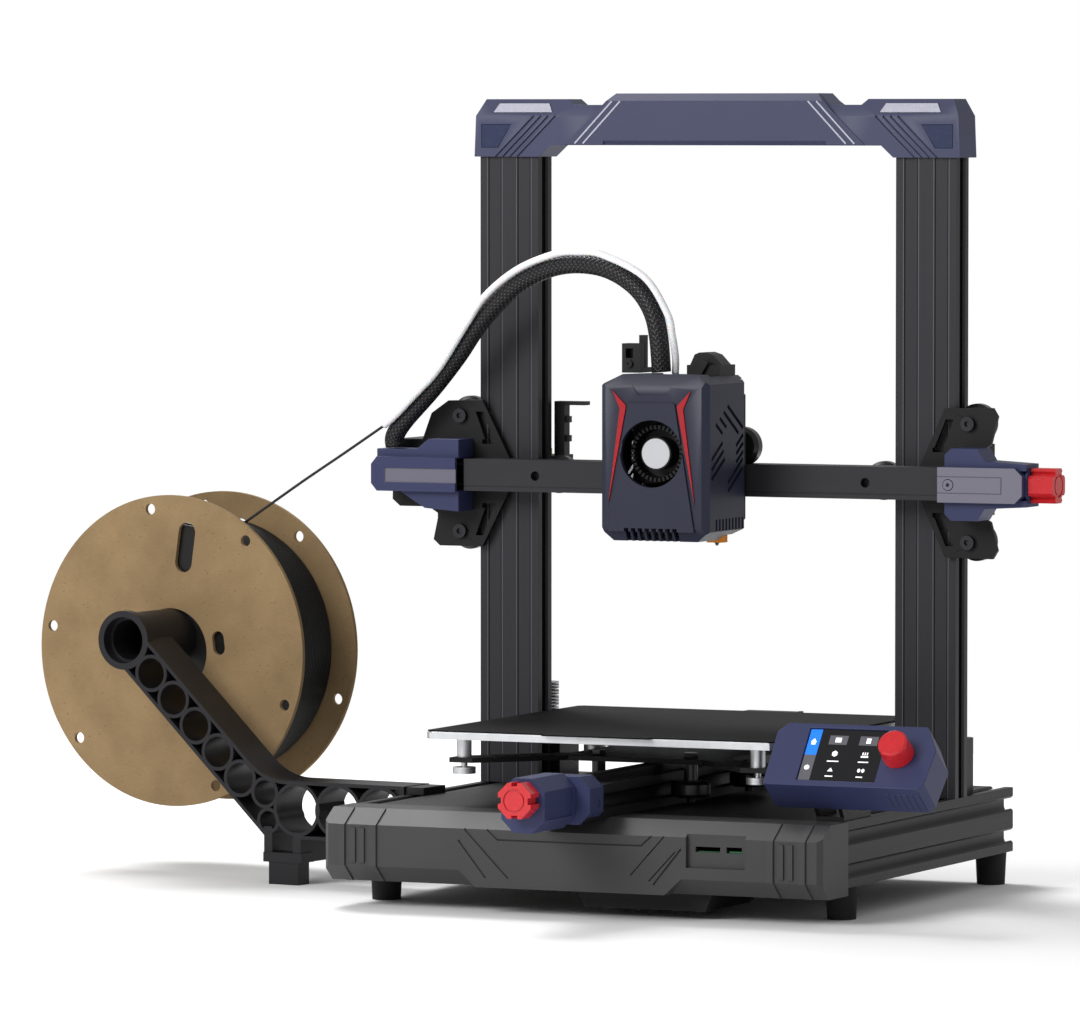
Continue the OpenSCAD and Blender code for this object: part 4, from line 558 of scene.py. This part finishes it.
def screen_glass(name):
    """Cover glass over a dark panel: near black, mirror smooth, faintly smeared."""
    look = Finish(name, linear("#0b0c10"), 0.06, IOR=1.52, **{
        "Coat Weight": 0.5, "Coat Roughness": 0.03,
    })
    look.roughness(look.noise(14 * MM, 5.0), 0.03, 0.16)
    return look


def lit_field(name, base, strength):
    """A lit field of the display: its own light, in cells 0.4 mm across."""
    look = Finish(name, base, 0.3, **{"Emission Strength": strength})
    cells = look.add("ShaderNodeTexChecker", {
        "Vector": look.place, "Scale": 1 / (0.4 * MM),
        "Color1": rgba(base), "Color2": rgba(base, 0.8),
    }).outputs[0]
    look.colour(cells)
    look.tree.links.new(cells, look.shader.inputs["Emission Color"])
    return look


def solder_mask(name):
    """Green lacquer over copper: glossy, with tracks that show as paler lines."""
    look = Finish(name, linear("#12502c"), 0.3, **{"Coat Weight": 0.4})
    track = look.ramp(look.ribs(1.6 * MM, "X", Distortion=6.0, Detail=1.0), 0.75, 0.9)
    look.colour(look.mixed(track, rgba(look.base), rgba(linear("#2f8a4e"))))
    look.relief(track, 0.05 * MM)
    return look


# ------------------------------------------------------- helpers for pieces


SMOOTH_BELOW = radians(30)  # faces that meet at less look like one surface
ROUND_ABOVE = radians(40)  # edges that turn by more are rounded
JOIN_WITHIN = 0.002 * MM


def smoothing():
    """Geometry nodes that join a CAD node's loose triangles and smooth them where
    they meet at a shallow angle. Made once, then shared."""
    name = "join_and_smooth"
    tree = bpy.data.node_groups.get(name)
    if tree:
        return tree
    tree = bpy.data.node_groups.new(name, "GeometryNodeTree")
    for way in ("INPUT", "OUTPUT"):
        tree.interface.new_socket("Geometry", in_out=way, socket_type="NodeSocketGeometry")
    source = add(tree, "NodeGroupInput")
    joined = add(tree, "GeometryNodeMergeByDistance", {
        "Geometry": source.outputs[0], "Distance": JOIN_WITHIN,
    })
    angle = add(tree, "GeometryNodeInputMeshEdgeAngle")
    soft = add(tree, "FunctionNodeCompare", {0: angle.outputs[0], 1: SMOOTH_BELOW},
               data_type="FLOAT", operation="LESS_THAN")
    faces = add(tree, "GeometryNodeSetShadeSmooth", {
        "Geometry": joined.outputs[0], "Shade Smooth": True,
    }, domain="FACE")
    edges = add(tree, "GeometryNodeSetShadeSmooth", {
        "Geometry": faces.outputs[0], "Shade Smooth": soft.outputs[0],
    }, domain="EDGE")
    add(tree, "NodeGroupOutput", {0: edges.outputs[0]})
    return tree


def dress(node, look, edge=None):
    """Gives a CAD node its finish, smooth round faces and, with edge, rounded edges."""
    piece = NODES[node]
    piece.data.materials.clear()
    piece.data.materials.append(look.material)
    piece.modifiers.new("join", "NODES").node_group = smoothing()
    if edge:
        bevel = piece.modifiers.new("edges", "BEVEL")
        bevel.width = edge
        bevel.segments = 2
        bevel.limit_method = "ANGLE"
        bevel.angle_limit = ROUND_ABOVE
        bevel.harden_normals = True


def deselect():
    """Leaves edit mode and selects nothing."""
    if bpy.context.object and bpy.context.object.mode != "OBJECT":
        bpy.ops.object.mode_set(mode="OBJECT")
    bpy.ops.object.select_all(action="DESELECT")


def settle(piece, name, look, matrix=None):
    """Names a finished piece, puts its place into its mesh and gives it its finish."""
    deselect()
    piece.name = name
    piece.data.name = name
    piece.select_set(True)
    bpy.context.view_layer.objects.active = piece
    bpy.ops.object.transform_apply(location=True, rotation=True, scale=True)
    if matrix is not None:
        piece.data.transform(matrix)
    piece.data.materials.clear()
    piece.data.materials.append(look.material)


# ------------------------------------------------------------------- stage

FLOOR_SIZE = 3.6
FLOOR_MIDDLE = (0, -0.75, 0)
SKY_STRENGTH = 0.46
AIM = Vector((-0.03, -0.06, 0.22))  # the middle of the printer
LAMPS = (  # name, place, size and power
    ("key", (-1.3, 0.9, 2.0), 1.0, 47),
    ("front", (-0.9, -2.3, 1.5), 1.2, 44),
)
CAMERA_PLACE = (2.00106, -4.64665, 0.480)
CAMERA_DOWN = 2.813  # degrees below level
CAMERA_TURN = 24.5295  # degrees to the left of straight ahead
CAMERA_LENS = 272.03
CAMERA_SENSOR = 36
CAMERA_REACH = 60


class PRINTER_OT_stage(bpy.types.Operator):
    """Make the floor, the lights and the camera"""

    bl_idname = "printer.stage"
    bl_label = "Stage"

    def execute(self, context):
        deselect()
        bpy.ops.mesh.primitive_plane_add(size=FLOOR_SIZE, location=FLOOR_MIDDLE)
        floor = context.object
        # matt white paper, a little smoother in places
        paper = Finish("pale_paper", linear("#fbfbfb"), 0.7)
        paper.roughness(paper.noise(25 * MM, 2.0), 0.65, 0.75)
        settle(floor, "floor", paper)
        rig.stage(floor)

        # lit by a soft sky, and plain white behind the printer
        world = bpy.data.worlds.new("studio")
        context.scene.world = world
        world.use_nodes = True
        tree = world.node_tree
        sky = tree.nodes["Background"]
        sky.inputs["Color"].default_value = (1, 1, 1, 1)
        sky.inputs["Strength"].default_value = SKY_STRENGTH
        white = add(tree, "ShaderNodeBackground", {"Color": (1, 1, 1, 1), "Strength": 1.0})
        seen = add(tree, "ShaderNodeLightPath").outputs["Is Camera Ray"]
        both = add(tree, "ShaderNodeMixShader", {0: seen, 1: sky.outputs[0], 2: white.outputs[0]})
        tree.links.new(both.outputs[0], tree.nodes["World Output"].inputs["Surface"])
        context.scene.view_settings.view_transform = "Standard"

        for name, place, size, power in LAMPS:
            lamp = bpy.data.lights.new(name, "AREA")
            lamp.size = size
            lamp.energy = power
            light = bpy.data.objects.new(name, lamp)
            context.collection.objects.link(light)
            light.location = place
            light.rotation_euler = (AIM - light.location).to_track_quat("-Z", "Y").to_euler()

        lens = bpy.data.cameras.new("camera")
        lens.lens = CAMERA_LENS
        lens.sensor_width = CAMERA_SENSOR
        lens.clip_end = CAMERA_REACH
        camera = bpy.data.objects.new("camera", lens)
        context.collection.objects.link(camera)
        camera.location = CAMERA_PLACE
        camera.rotation_euler = (radians(90 - CAMERA_DOWN), 0, radians(CAMERA_TURN))
        context.scene.camera = camera
        return {"FINISHED"}


# ------------------------------------------------------------------ pieces


class PRINTER_OT_profiles(bpy.types.Operator):
    """Finish the aluminium profiles, each with die lines along its own length"""

    bl_idname = "printer.profiles"
    bl_label = "Profiles"

    def execute(self, context):
        # the profiles of the base are painted a deeper black than the rest, as painted shade
        base, deep = colours().profile, linear("#161417")
        for node, axis, own_tone_and_painted_shade in (
            ("base_rails", 1, deep), ("y_rail", 1, deep),
            ("uprights", 2, base), ("x_beam", 0, base),
        ):
            look = anodised_aluminium(f"anodised_aluminium_{node}", own_tone_and_painted_shade, axis)
            dress(node, look, sizes().metal_edge)
            if node == "uprights":
                # painted shade and painted highlight along the channel edges
                channel_shade_and_highlight(look, NODES[node].bound_box[4][0] - UPRIGHT_W / 2)
        return {"FINISHED"}


class PRINTER_OT_covers(bpy.types.Operator):
    """Finish the moulded covers of the base, the axes and the top bar"""

    bl_idname = "printer.covers"
    bl_label = "Moulded covers"

    def execute(self, context):
        edge = sizes().edge
        dress("front_cover", moulded_abs("charcoal_abs", colours().charcoal, rough=0.48), edge)
        navy = moulded_abs("navy_abs", colours().navy)
        for node in ("y_tensioner_housing", "screen_housing"):
            dress(node, navy, edge)
        # the top bar takes the navy painted paler, as a painted highlight
        dress("top_bar", moulded_abs("bar_abs_painted_lighter", colours().bar), edge)
        # the end covers carry a paler band on their faces, level with the belt; each
        # number is where the band's step lies in the moulding
        low = NODES["x_belt"].bound_box[0][2]
        right = moulded_abs("right_cover_abs", colours().navy)
        right.second_tone(linear("#74727f"), (
            (1, -31.5 * MM, -1), (2, low - 3.6 * MM, 1), (2, low + 17.8 * MM, -1),
        ))
        dress("x_tensioner_housing", right, edge)
        left = moulded_abs("left_cover_abs", colours().navy)
        left.second_tone(linear("#686674"), (
            (1, -31.2 * MM, -1), (0, -212.2 * MM, 1),
            (2, low + 1.8 * MM, 1), (2, low + 10.8 * MM, -1),
        ))
        dress("left_end_cover", left, edge)
        # the upper plates and the lines are pale, the panel near each end is dark
        inlay = gloss_abs("inlay_abs", colours().inlay)
        for side in (-1, 1):
            inlay.second_tone(linear("#28304f"), ((0, side * 130 * MM, side), (2, 474 * MM, -1)))
        dress("top_bar_inlays", inlay)
        return {"FINISHED"}


class PRINTER_OT_sheet_metal(bpy.types.Operator):
    """Finish the plates bent from sheet steel"""

    bl_idname = "printer.sheet_metal"
    bl_label = "Sheet metal"

    def execute(self, context):
        coat = powder_coat("black_powder_coat", colours().steel)
        for node in (
            "base_top_plate", "base_pan", "rear_cover", "screen_bracket", "bed_carriage",
            "left_end_plate", "right_end_plate", "head_back_plate",
        ):
            dress(node, coat, sizes().metal_edge)
        return {"FINISHED"}


class PRINTER_OT_motors(bpy.types.Operator):
    """Finish the stepper motors"""

    bl_idname = "printer.motors"
    bl_label = "Motors"

    def execute(self, context):
        enamel = powder_coat("black_motor_enamel", linear("#161617"), 0.4)
        for node in ("z_motors", "x_motor", "y_motor"):
            dress(node, enamel, sizes().metal_edge)
        return {"FINISHED"}


class PRINTER_OT_wheels(bpy.types.Operator):
    """Finish the V wheels"""

    bl_idname = "printer.wheels"
    bl_label = "V wheels"

    def execute(self, context):
        acetal = gloss_abs("black_acetal", linear("#131314"), 0.34)
        for node in ("z_wheels", "head_wheels", "bed_wheels"):
            dress(node, acetal)
        return {"FINISHED"}


class PRINTER_OT_drive(bpy.types.Operator):
    """Finish belts, pulleys, nuts, bolts, lead screws, feet and the trip finger"""

    bl_idname = "printer.drive"
    bl_label = "Drive parts"

    def execute(self, context):
        metal = turned_metal("turned_aluminium", "#c3c5c8")
        for node in ("y_idler_pulley", "y_drive_pulley", "x_motor_pulley", "x_idler_pulley"):
            dress(node, metal)
        dress("gantry_bolts", turned_metal("black_oxide_steel", "#3a3a3d", 0.32))
        dress("lead_nuts", turned_metal("turned_brass", "#b8923f"))
        for node in ("lead_screw_left", "lead_screw_right"):
            dress(node, threaded_steel(f"rolled_steel_{node}"))
        dress("x_belt", toothed_belt("neoprene_x", "X"))
        dress("y_belt", toothed_belt("neoprene_y", "Y"))
        dress("feet", rubber("black_rubber", linear("#242324")), sizes().metal_edge)
        dress("z_flag", moulded_abs("black_nylon", linear("#151516")))
        return {"FINISHED"}


class PRINTER_OT_electronics(bpy.types.Operator):
    """Finish the power supply, the board, the inlet and the switch"""

    bl_idname = "printer.electronics"
    bl_label = "Electronics"

    def execute(self, context):
        edge = sizes().metal_edge
        dress("power_supply", turned_metal("folded_aluminium", "#a9abad", 0.4), edge)
        dress("main_board", solder_mask("green_solder_mask"))
        dress("power_inlet", moulded_abs("black_polyamide", linear("#161618")), edge)
        dress("power_switch", gloss_abs("red_rocker", colours().red), edge)
        return {"FINISHED"}


class PRINTER_OT_head(bpy.types.Operator):
    """Finish the print head"""

    bl_idname = "printer.head"
    bl_label = "Print head"

    def execute(self, context):
        edge = sizes().metal_edge
        dress("head_cover", moulded_abs("dark_navy_abs", colours().head, rough=0.36), sizes().edge)
        dress("head_inserts", gloss_abs("dark_red_abs", colours().flash))
        # the wheel is black, with a bare pale disc on its hub
        wheel = moulded_abs("black_pbt", linear("#101011"), rough=0.5)
        wheel.second_tone(linear("#c3c4c8"), ((1, HUB_FRONT, -1),))
        dress("blower_wheel", wheel)
        dress("extruder", moulded_abs("black_pom", linear("#131315")), edge)
        dress("hot_end", turned_metal("turned_fins", "#b5b7ba"))
        dress("nozzle_sock", rubber("orange_silicone", colours().sock, 0.5), edge)
        dress("cable_clamp", moulded_abs("black_clamp_nylon", linear("#141416")), edge)
        return {"FINISHED"}


class PRINTER_OT_bed(bpy.types.Operator):
    """Finish the heated plate and the build sheet"""

    bl_idname = "printer.bed"
    bl_label = "Bed"

    def execute(self, context):
        plate = turned_metal("rolled_aluminium", "#d6d7d9", 0.38)
        dress("heated_bed", plate, sizes().metal_edge)
        dress("build_sheet", textured_sheet("textured_sheet", colours().sheet))
        return {"FINISHED"}


class PRINTER_OT_knobs(bpy.types.Operator):
    """Finish the red knobs and the dial"""

    bl_idname = "printer.knobs"
    bl_label = "Knobs"

    def execute(self, context):
        red = gloss_abs("red_abs", colours().red)
        for node in ("x_tension_knob", "y_tension_knob", "screen_knob"):
            dress(node, red, sizes().edge)
        return {"FINISHED"}


# ------------------------------------------------------------------ screen

SCREEN_RIGHT = Vector((1, 0, 0))
SCREEN_OUT = Vector(JOINTS["dial_turn"]["axis"])
SCREEN_UP = Vector((0, SCREEN_OUT.z, -SCREEN_OUT.y))
DIAL = Vector(JOINTS["dial_turn"]["pos_m"])
LCD = Vector((-35.5, -1.5)) * MM  # middle of the display, from the dial
GLASS_BACK = 1 * MM  # from the dial's origin back to the face of the glass
FIELD_T = 0.12 * MM
MARK_LIFT = 0.1 * MM  # how far the marks stand on the tiles

# each field is its middle, width and height in millimetres, and its sides
TAB = [(-20.8, 9, 7.4, 18, 4)]
TILES = [(-20.8, -9, 7.4, 17.9, 4), (-5.4, 10.9, 11.6, 6.4, 4), (14, 10.9, 11.6, 6.4, 4)]
MARKS = [
    (-20.8, 10.2, 4.2, 3.4, 3), (-20.8, 8.4, 2.6, 2.4, 4),  # house
    (-20.8, -9, 3.4, 3.4, 8),  # cog
    (-5.4, 10.9, 3.8, 3.2, 4), (14, 10.9, 2.8, 3.6, 4),  # folder and page
    (-5.4, 1.2, 3.8, 4.2, 6),  # drop
    (14, -0.4, 4.6, 1.1, 4), (12.6, 1.7, 0.7, 1.9, 4),  # heated plate
    (14, 1.7, 0.7, 1.9, 4), (15.4, 1.7, 0.7, 1.9, 4),
    (-5.4, -10.2, 4, 3.4, 3),  # gauge
    (12.8, -10.2, 2.1, 2.9, 6), (15.4, -10.2, 2.1, 2.9, 6),  # fan
    (-5.4, -4.2, 7.4, 0.7, 4), (14, -4.2, 6.6, 0.7, 4),  # bars for small text
    (-5.4, -14.8, 5, 0.7, 4), (14, -14.8, 4.2, 0.7, 4),
]


def on_glass():
    """From display coordinates, with the middle at zero, to the row frame."""
    axes = Matrix((SCREEN_RIGHT, SCREEN_UP, SCREEN_OUT)).transposed().to_4x4()
    front = DIAL + SCREEN_RIGHT * LCD.x + SCREEN_UP * LCD.y - SCREEN_OUT * GLASS_BACK
    return Matrix.Translation(front) @ axes


def plates(name, look, fields, lift=0.0):
    """Thin lit fields on the glass, from a list like the ones above."""
    deselect()
    bpy.ops.mesh.primitive_plane_add(size=MM)
    piece = bpy.context.object
    bpy.ops.object.mode_set(mode="EDIT")
    bpy.ops.mesh.select_all(action="SELECT")
    bpy.ops.mesh.delete(type="VERT")
    for x, y, w, h, sides in fields:
        bpy.ops.mesh.select_all(action="DESELECT")
        # a square with sides of 1 mm, or another shape 1 mm across
        square = sides == 4
        bpy.ops.mesh.primitive_circle_add(
            vertices=sides, radius=MM / (2 ** 0.5 if square else 2), fill_type="NGON",
            location=(0, 0, 0), rotation=(0, 0, pi / 4 if square else 0))
        bpy.ops.transform.resize(value=(w, h, 1))
        bpy.ops.transform.translate(value=(x * MM, y * MM, lift))
    bpy.ops.mesh.select_all(action="SELECT")
    bpy.ops.mesh.extrude_region_move(TRANSFORM_OT_translate={"value": (0, 0, FIELD_T)})
    bpy.ops.mesh.select_all(action="SELECT")
    bpy.ops.mesh.normals_make_consistent(inside=False)
    deselect()
    settle(piece, name, look, on_glass())
    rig.ride(piece, "frame")
    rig.slot(piece, "screen_glass")


class PRINTER_OT_screen(bpy.types.Operator):
    """Finish the display and light its menu of plain symbols"""

    bl_idname = "printer.screen"
    bl_label = "Screen"

    def execute(self, context):
        dress("screen_glass", screen_glass("cover_glass"), sizes().metal_edge)
        plates("screen_tab", lit_field("lit_blue", colours().screen_blue, 0.9), TAB)
        plates("screen_tiles", lit_field("lit_grey", linear("#55555a"), 0.6), TILES)
        plates("screen_marks", lit_field("lit_white", linear("#f2f2f2"), 0.9), MARKS, MARK_LIFT)
        return {"FINISHED"}


# ------------------------------------------------------------------- spool


def spool_matrix():
    """From the spool's own axes, with its axle along Y, to the row frame."""
    spin = JOINTS["spool_spin"]
    turn = Vector(spin["axis"]).to_track_quat("Y", "Z")
    return Matrix.Translation(Vector(spin["pos_m"])) @ turn.to_matrix().to_4x4()


class PRINTER_OT_spool(bpy.types.Operator):
    """Finish the arm and the cardboard, and wind the filament strand by strand"""

    bl_idname = "printer.spool"
    bl_label = "Spool"

    def execute(self, context):
        edge = sizes().metal_edge
        dress("spool_arm", moulded_abs("black_pa_arm", linear("#1c1b1e"), rough=0.4), edge)
        dress("cardboard_spool", kraft_board("kraft_board", colours().kraft), edge)

        # one turn of filament, repeated across the winding
        strand = sizes().strand
        first = SPOOL_START + FLANGE_T + WINDING_GAP
        width = SPOOL_W - 2 * (FLANGE_T + WINDING_GAP)
        count = int(width / strand)
        deselect()
        bpy.ops.mesh.primitive_torus_add(
            major_segments=144, minor_segments=8,
            major_radius=WINDING_R - strand / 2, minor_radius=strand / 2,
            rotation=(pi / 2, 0, 0), location=(0, first + (width - (count - 1) * strand) / 2, 0))
        piece = context.object
        bpy.ops.object.transform_apply(location=True, rotation=True, scale=True)
        rows = piece.modifiers.new("rows", "ARRAY")
        rows.count = count
        rows.use_relative_offset = False
        rows.use_constant_offset = True
        rows.constant_offset_displace = (0, strand, 0)
        bpy.ops.object.modifier_apply(modifier="rows")
        bpy.ops.object.shade_smooth()
        plastic = drawn_filament("drawn_filament", colours().filament)
        settle(piece, "filament_rows", plastic, spool_matrix())
        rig.ride(piece, "spool")
        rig.slot(piece, "filament_black")

        # the turns below them, as one drum that shows only between the rows
        deselect()
        bpy.ops.mesh.primitive_cylinder_add(
            vertices=144, radius=WINDING_R - strand * 0.7, depth=width,
            rotation=(pi / 2, 0, 0), location=(0, first + width / 2, 0))
        core = context.object
        bpy.ops.object.mode_set(mode="EDIT")
        bpy.ops.mesh.select_all(action="SELECT")
        bpy.ops.mesh.bevel(offset=0.3 * MM, segments=2)
        deselect()
        settle(core, "filament_core", plastic, spool_matrix())
        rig.ride(core, "spool")
        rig.slot(core, "filament_black")
        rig.replaces(piece, "filament_winding")
        return {"FINISHED"}


# ------------------------------------------------------------------- cords

# each route is a list of points in millimetres, from the lower left end
SLEEVE_ROUTE = [
    (-211.5, -18, 271), (-211.1, -18.8, 277.5), (-203, -21.2, 287.8), (-182.3, -24, 308.1),
    (-163.6, -28, 328.2), (-145, -32, 351), (-122.7, -37, 370.2), (-107.8, -40.5, 379),
    (-89.2, -45, 385.3), (-70.9, -49, 387.3), (-52.7, -53, 385.4), (-37.4, -56, 379.6),
    (-24.4, -58.5, 370.3), (-15.5, -60.5, 357.8), (-11.3, -61.5, 342.9), (-9.3, -61.8, 321.5),
]
TUBE_ROUTE = [
    (-215.1, -26, 284.3), (-205.7, -29, 291), (-196.3, -31.2, 299.2), (-187.2, -33, 307.3),
    (-177.3, -34.8, 316.1), (-168.1, -36.4, 326.9), (-151.4, -39.6, 349.6), (-137.3, -41.5, 367.3),
    (-113.8, -45.5, 383.6), (-86, -52, 393.2), (-67.7, -56, 394.7), (-49.8, -59.5, 393),
    (-20.7, -62.5, 379.8), (-5.4, -62.5, 357.9), (-2.4, -61.2, 344.5), (-1.5, -58.2, 331),
    (-2.4, -56.2, 320.6),
]
STRAND_ROUTE = [
    (-322, -35, 213), (-296, -35, 230), (-268, -32.5, 249), (-240, -29, 267.5),
    (-215.5, -26.1, 284),
]
YARN_DIP = 0.3 * MM  # depth of the gaps between the sleeve's yarns


def smooth_route(points, parts):
    """A Catmull-Rom line through the points, in metres, with parts steps between two."""
    line = [Vector(p) * MM for p in points]
    out = []
    for i in range(len(line) - 1):
        a, b, c, d = (line[max(0, min(len(line) - 1, k))] for k in (i - 1, i, i + 1, i + 2))
        for k in range(parts):
            t = k / parts
            out.append(0.5 * (
                2 * b + (c - a) * t + (2 * a - 5 * b + 4 * c - d) * t * t
                + (3 * b - a - 3 * c + d) * t ** 3
            ))
    return out + [line[-1]]


def even_route(points, step):
    """The same line with its points one step apart, and its length."""
    fine = smooth_route(points, 60)
    lengths = [0.0]
    for a, b in zip(fine, fine[1:]):
        lengths.append(lengths[-1] + (b - a).length)
    count = max(2, round(lengths[-1] / step))
    out, k = [], 0
    for i in range(count + 1):
        want = lengths[-1] * i / count
        while k < len(fine) - 2 and lengths[k + 1] < want:
            k += 1
        span = lengths[k + 1] - lengths[k]
        out.append(fine[k].lerp(fine[k + 1], (want - lengths[k]) / span if span else 0))
    return out, lengths[-1]


def hose(name, points, radius, sides, step, relief=None):
    """A closed tube along the points, with a UV map whose u and v are in girths.
    relief(u, v) raises its surface. Returns the piece, its line and its length."""
    line, long = even_route(points, step)
    verts, faces, uvs = [], [], []
    side = Vector((0, 1, 0))
    girth = tau * radius
    for i, p in enumerate(line):
        ahead = (line[min(len(line) - 1, i + 1)] - line[max(0, i - 1)]).normalized()
        side = (side - ahead * side.dot(ahead)).normalized()
        up = ahead.cross(side)
        v = long * i / (len(line) - 1) / girth
        for k in range(sides):
            u = k / sides
            r = radius + (relief(u, v) if relief else 0)
            verts.append(p + r * (cos(tau * u) * side + sin(tau * u) * up))
    for i in range(len(line) - 1):
        for k in range(sides):
            n = (k + 1) % sides
            faces.append((i * sides + k, i * sides + n, (i + 1) * sides + n, (i + 1) * sides + k))
            v0, v1 = (long * j / (len(line) - 1) / girth for j in (i, i + 1))
            uvs += [(k / sides, v0), ((k + 1) / sides, v0), ((k + 1) / sides, v1), (k / sides, v1)]
    last = (len(line) - 1) * sides
    for cap in (range(sides - 1, -1, -1), range(last, last + sides)):
        faces.append(tuple(cap))
        uvs += [(0.0, 0.0)] * sides
    mesh = bpy.data.meshes.new(name)
    mesh.from_pydata(verts, [], faces)
    layer = mesh.uv_layers.new(name="weave")
    for loop, uv in zip(layer.data, uvs):
        loop.uv = uv
    piece = bpy.data.objects.new(name, mesh)
    bpy.context.collection.objects.link(piece)
    for face in mesh.polygons:
        face.use_smooth = len(face.vertices) == 4
    return piece, line, long


def weave(u, v):
    """Relief of the braid: high where a yarn of either lean runs on top."""
    count = sizes().braid
    one, other = (abs(sin(pi * count * (u + lean * v))) for lean in (1, -1))
    return -YARN_DIP * (1 - max(one, other))


class PRINTER_OT_cords(bpy.types.Operator):
    """Make the braided sleeve, the feed tube and the strand of filament"""

    bl_idname = "printer.cords"
    bl_label = "Cords"

    def execute(self, context):
        size = sizes()
        sleeve, tube, strand = size.sleeve, size.tube, size.strand

        piece, line, long = hose(
            "cable_sleeve_braid", SLEEVE_ROUTE, sleeve / 2, 88, 0.55 * MM, weave)
        piece.data.materials.append(braided_yarn("braided_monofilament").material)
        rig.replaces(piece, "cable_sleeve")
        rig.cord(piece, exit=line[0], length=long, diameter=sleeve, far_end="object",
                stiffness="stiff", lay="hanging", path=line)
        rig.slot(piece, "sleeve_black")
        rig.blend(piece, "gantry", "head", start=line[0], end=line[-1])

        piece, line, long = hose("feed_tube_ptfe", TUBE_ROUTE, tube / 2, 20, 1.6 * MM)
        piece.data.materials.append(clear_white_tube("ptfe").material)
        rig.replaces(piece, "feed_tube")
        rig.cord(piece, exit=line[0], length=long, diameter=tube, far_end="object",
                stiffness="stiff", lay="hanging", path=line)
        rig.slot(piece, "feed_white")
        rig.blend(piece, "gantry", "head", start=line[0], end=line[-1])

        piece, line, long = hose("filament_strand_run", STRAND_ROUTE, strand / 2, 12, 1.5 * MM)
        piece.data.materials.append(drawn_filament("drawn_strand", colours().filament).material)
        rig.replaces(piece, "filament_strand")
        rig.cord(piece, exit=line[0], length=long, diameter=strand, far_end="object",
                stiffness="medium", lay="taut", path=line)
        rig.slot(piece, "filament_black")
        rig.blend(piece, "frame", "gantry", start=line[0], end=line[-1])
        return {"FINISHED"}


# ------------------------------------------------------------------- panel

OPERATORS = (
    PRINTER_OT_stage, PRINTER_OT_cords, PRINTER_OT_profiles, PRINTER_OT_covers,
    PRINTER_OT_sheet_metal, PRINTER_OT_motors, PRINTER_OT_wheels, PRINTER_OT_drive,
    PRINTER_OT_electronics, PRINTER_OT_head, PRINTER_OT_bed, PRINTER_OT_knobs,
    PRINTER_OT_screen, PRINTER_OT_spool,
)


class PRINTER_PT_panel(bpy.types.Panel):
    """Lists the printer's pieces and settings"""

    bl_label = "Filament printer"
    bl_idname = "PRINTER_PT_panel"
    bl_space_type = "VIEW_3D"
    bl_region_type = "UI"
    bl_category = "Printer"

    def draw(self, context):
        for group in (context.scene.printer_sizes, context.scene.printer_colours):
            box = self.layout.box()
            for key in type(group).__annotations__:
                box.prop(group, key)
        for operator in OPERATORS:
            self.layout.operator(operator.bl_idname)


CLASSES = (PrinterColours, PrinterSizes, *OPERATORS, PRINTER_PT_panel)


def register():
    for cls in CLASSES:
        bpy.utils.register_class(cls)
    bpy.types.Scene.printer_colours = PointerProperty(type=PrinterColours)
    bpy.types.Scene.printer_sizes = PointerProperty(type=PrinterSizes)


def unregister():
    del bpy.types.Scene.printer_sizes
    del bpy.types.Scene.printer_colours
    for cls in reversed(CLASSES):
        bpy.utils.unregister_class(cls)


def main():
    """Makes everything, and writes the boxes of the CAD and visual models."""
    cad = [list(corner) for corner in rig.bounds()]
    register()
    for operator in OPERATORS:
        group, name = operator.bl_idname.split(".")
        getattr(getattr(bpy.ops, group), name)()
    with open("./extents.json", "w") as out:
        json.dump({"cad": cad, "visual": [list(corner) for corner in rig.bounds()]}, out)


if __name__ == "__main__":
    main()
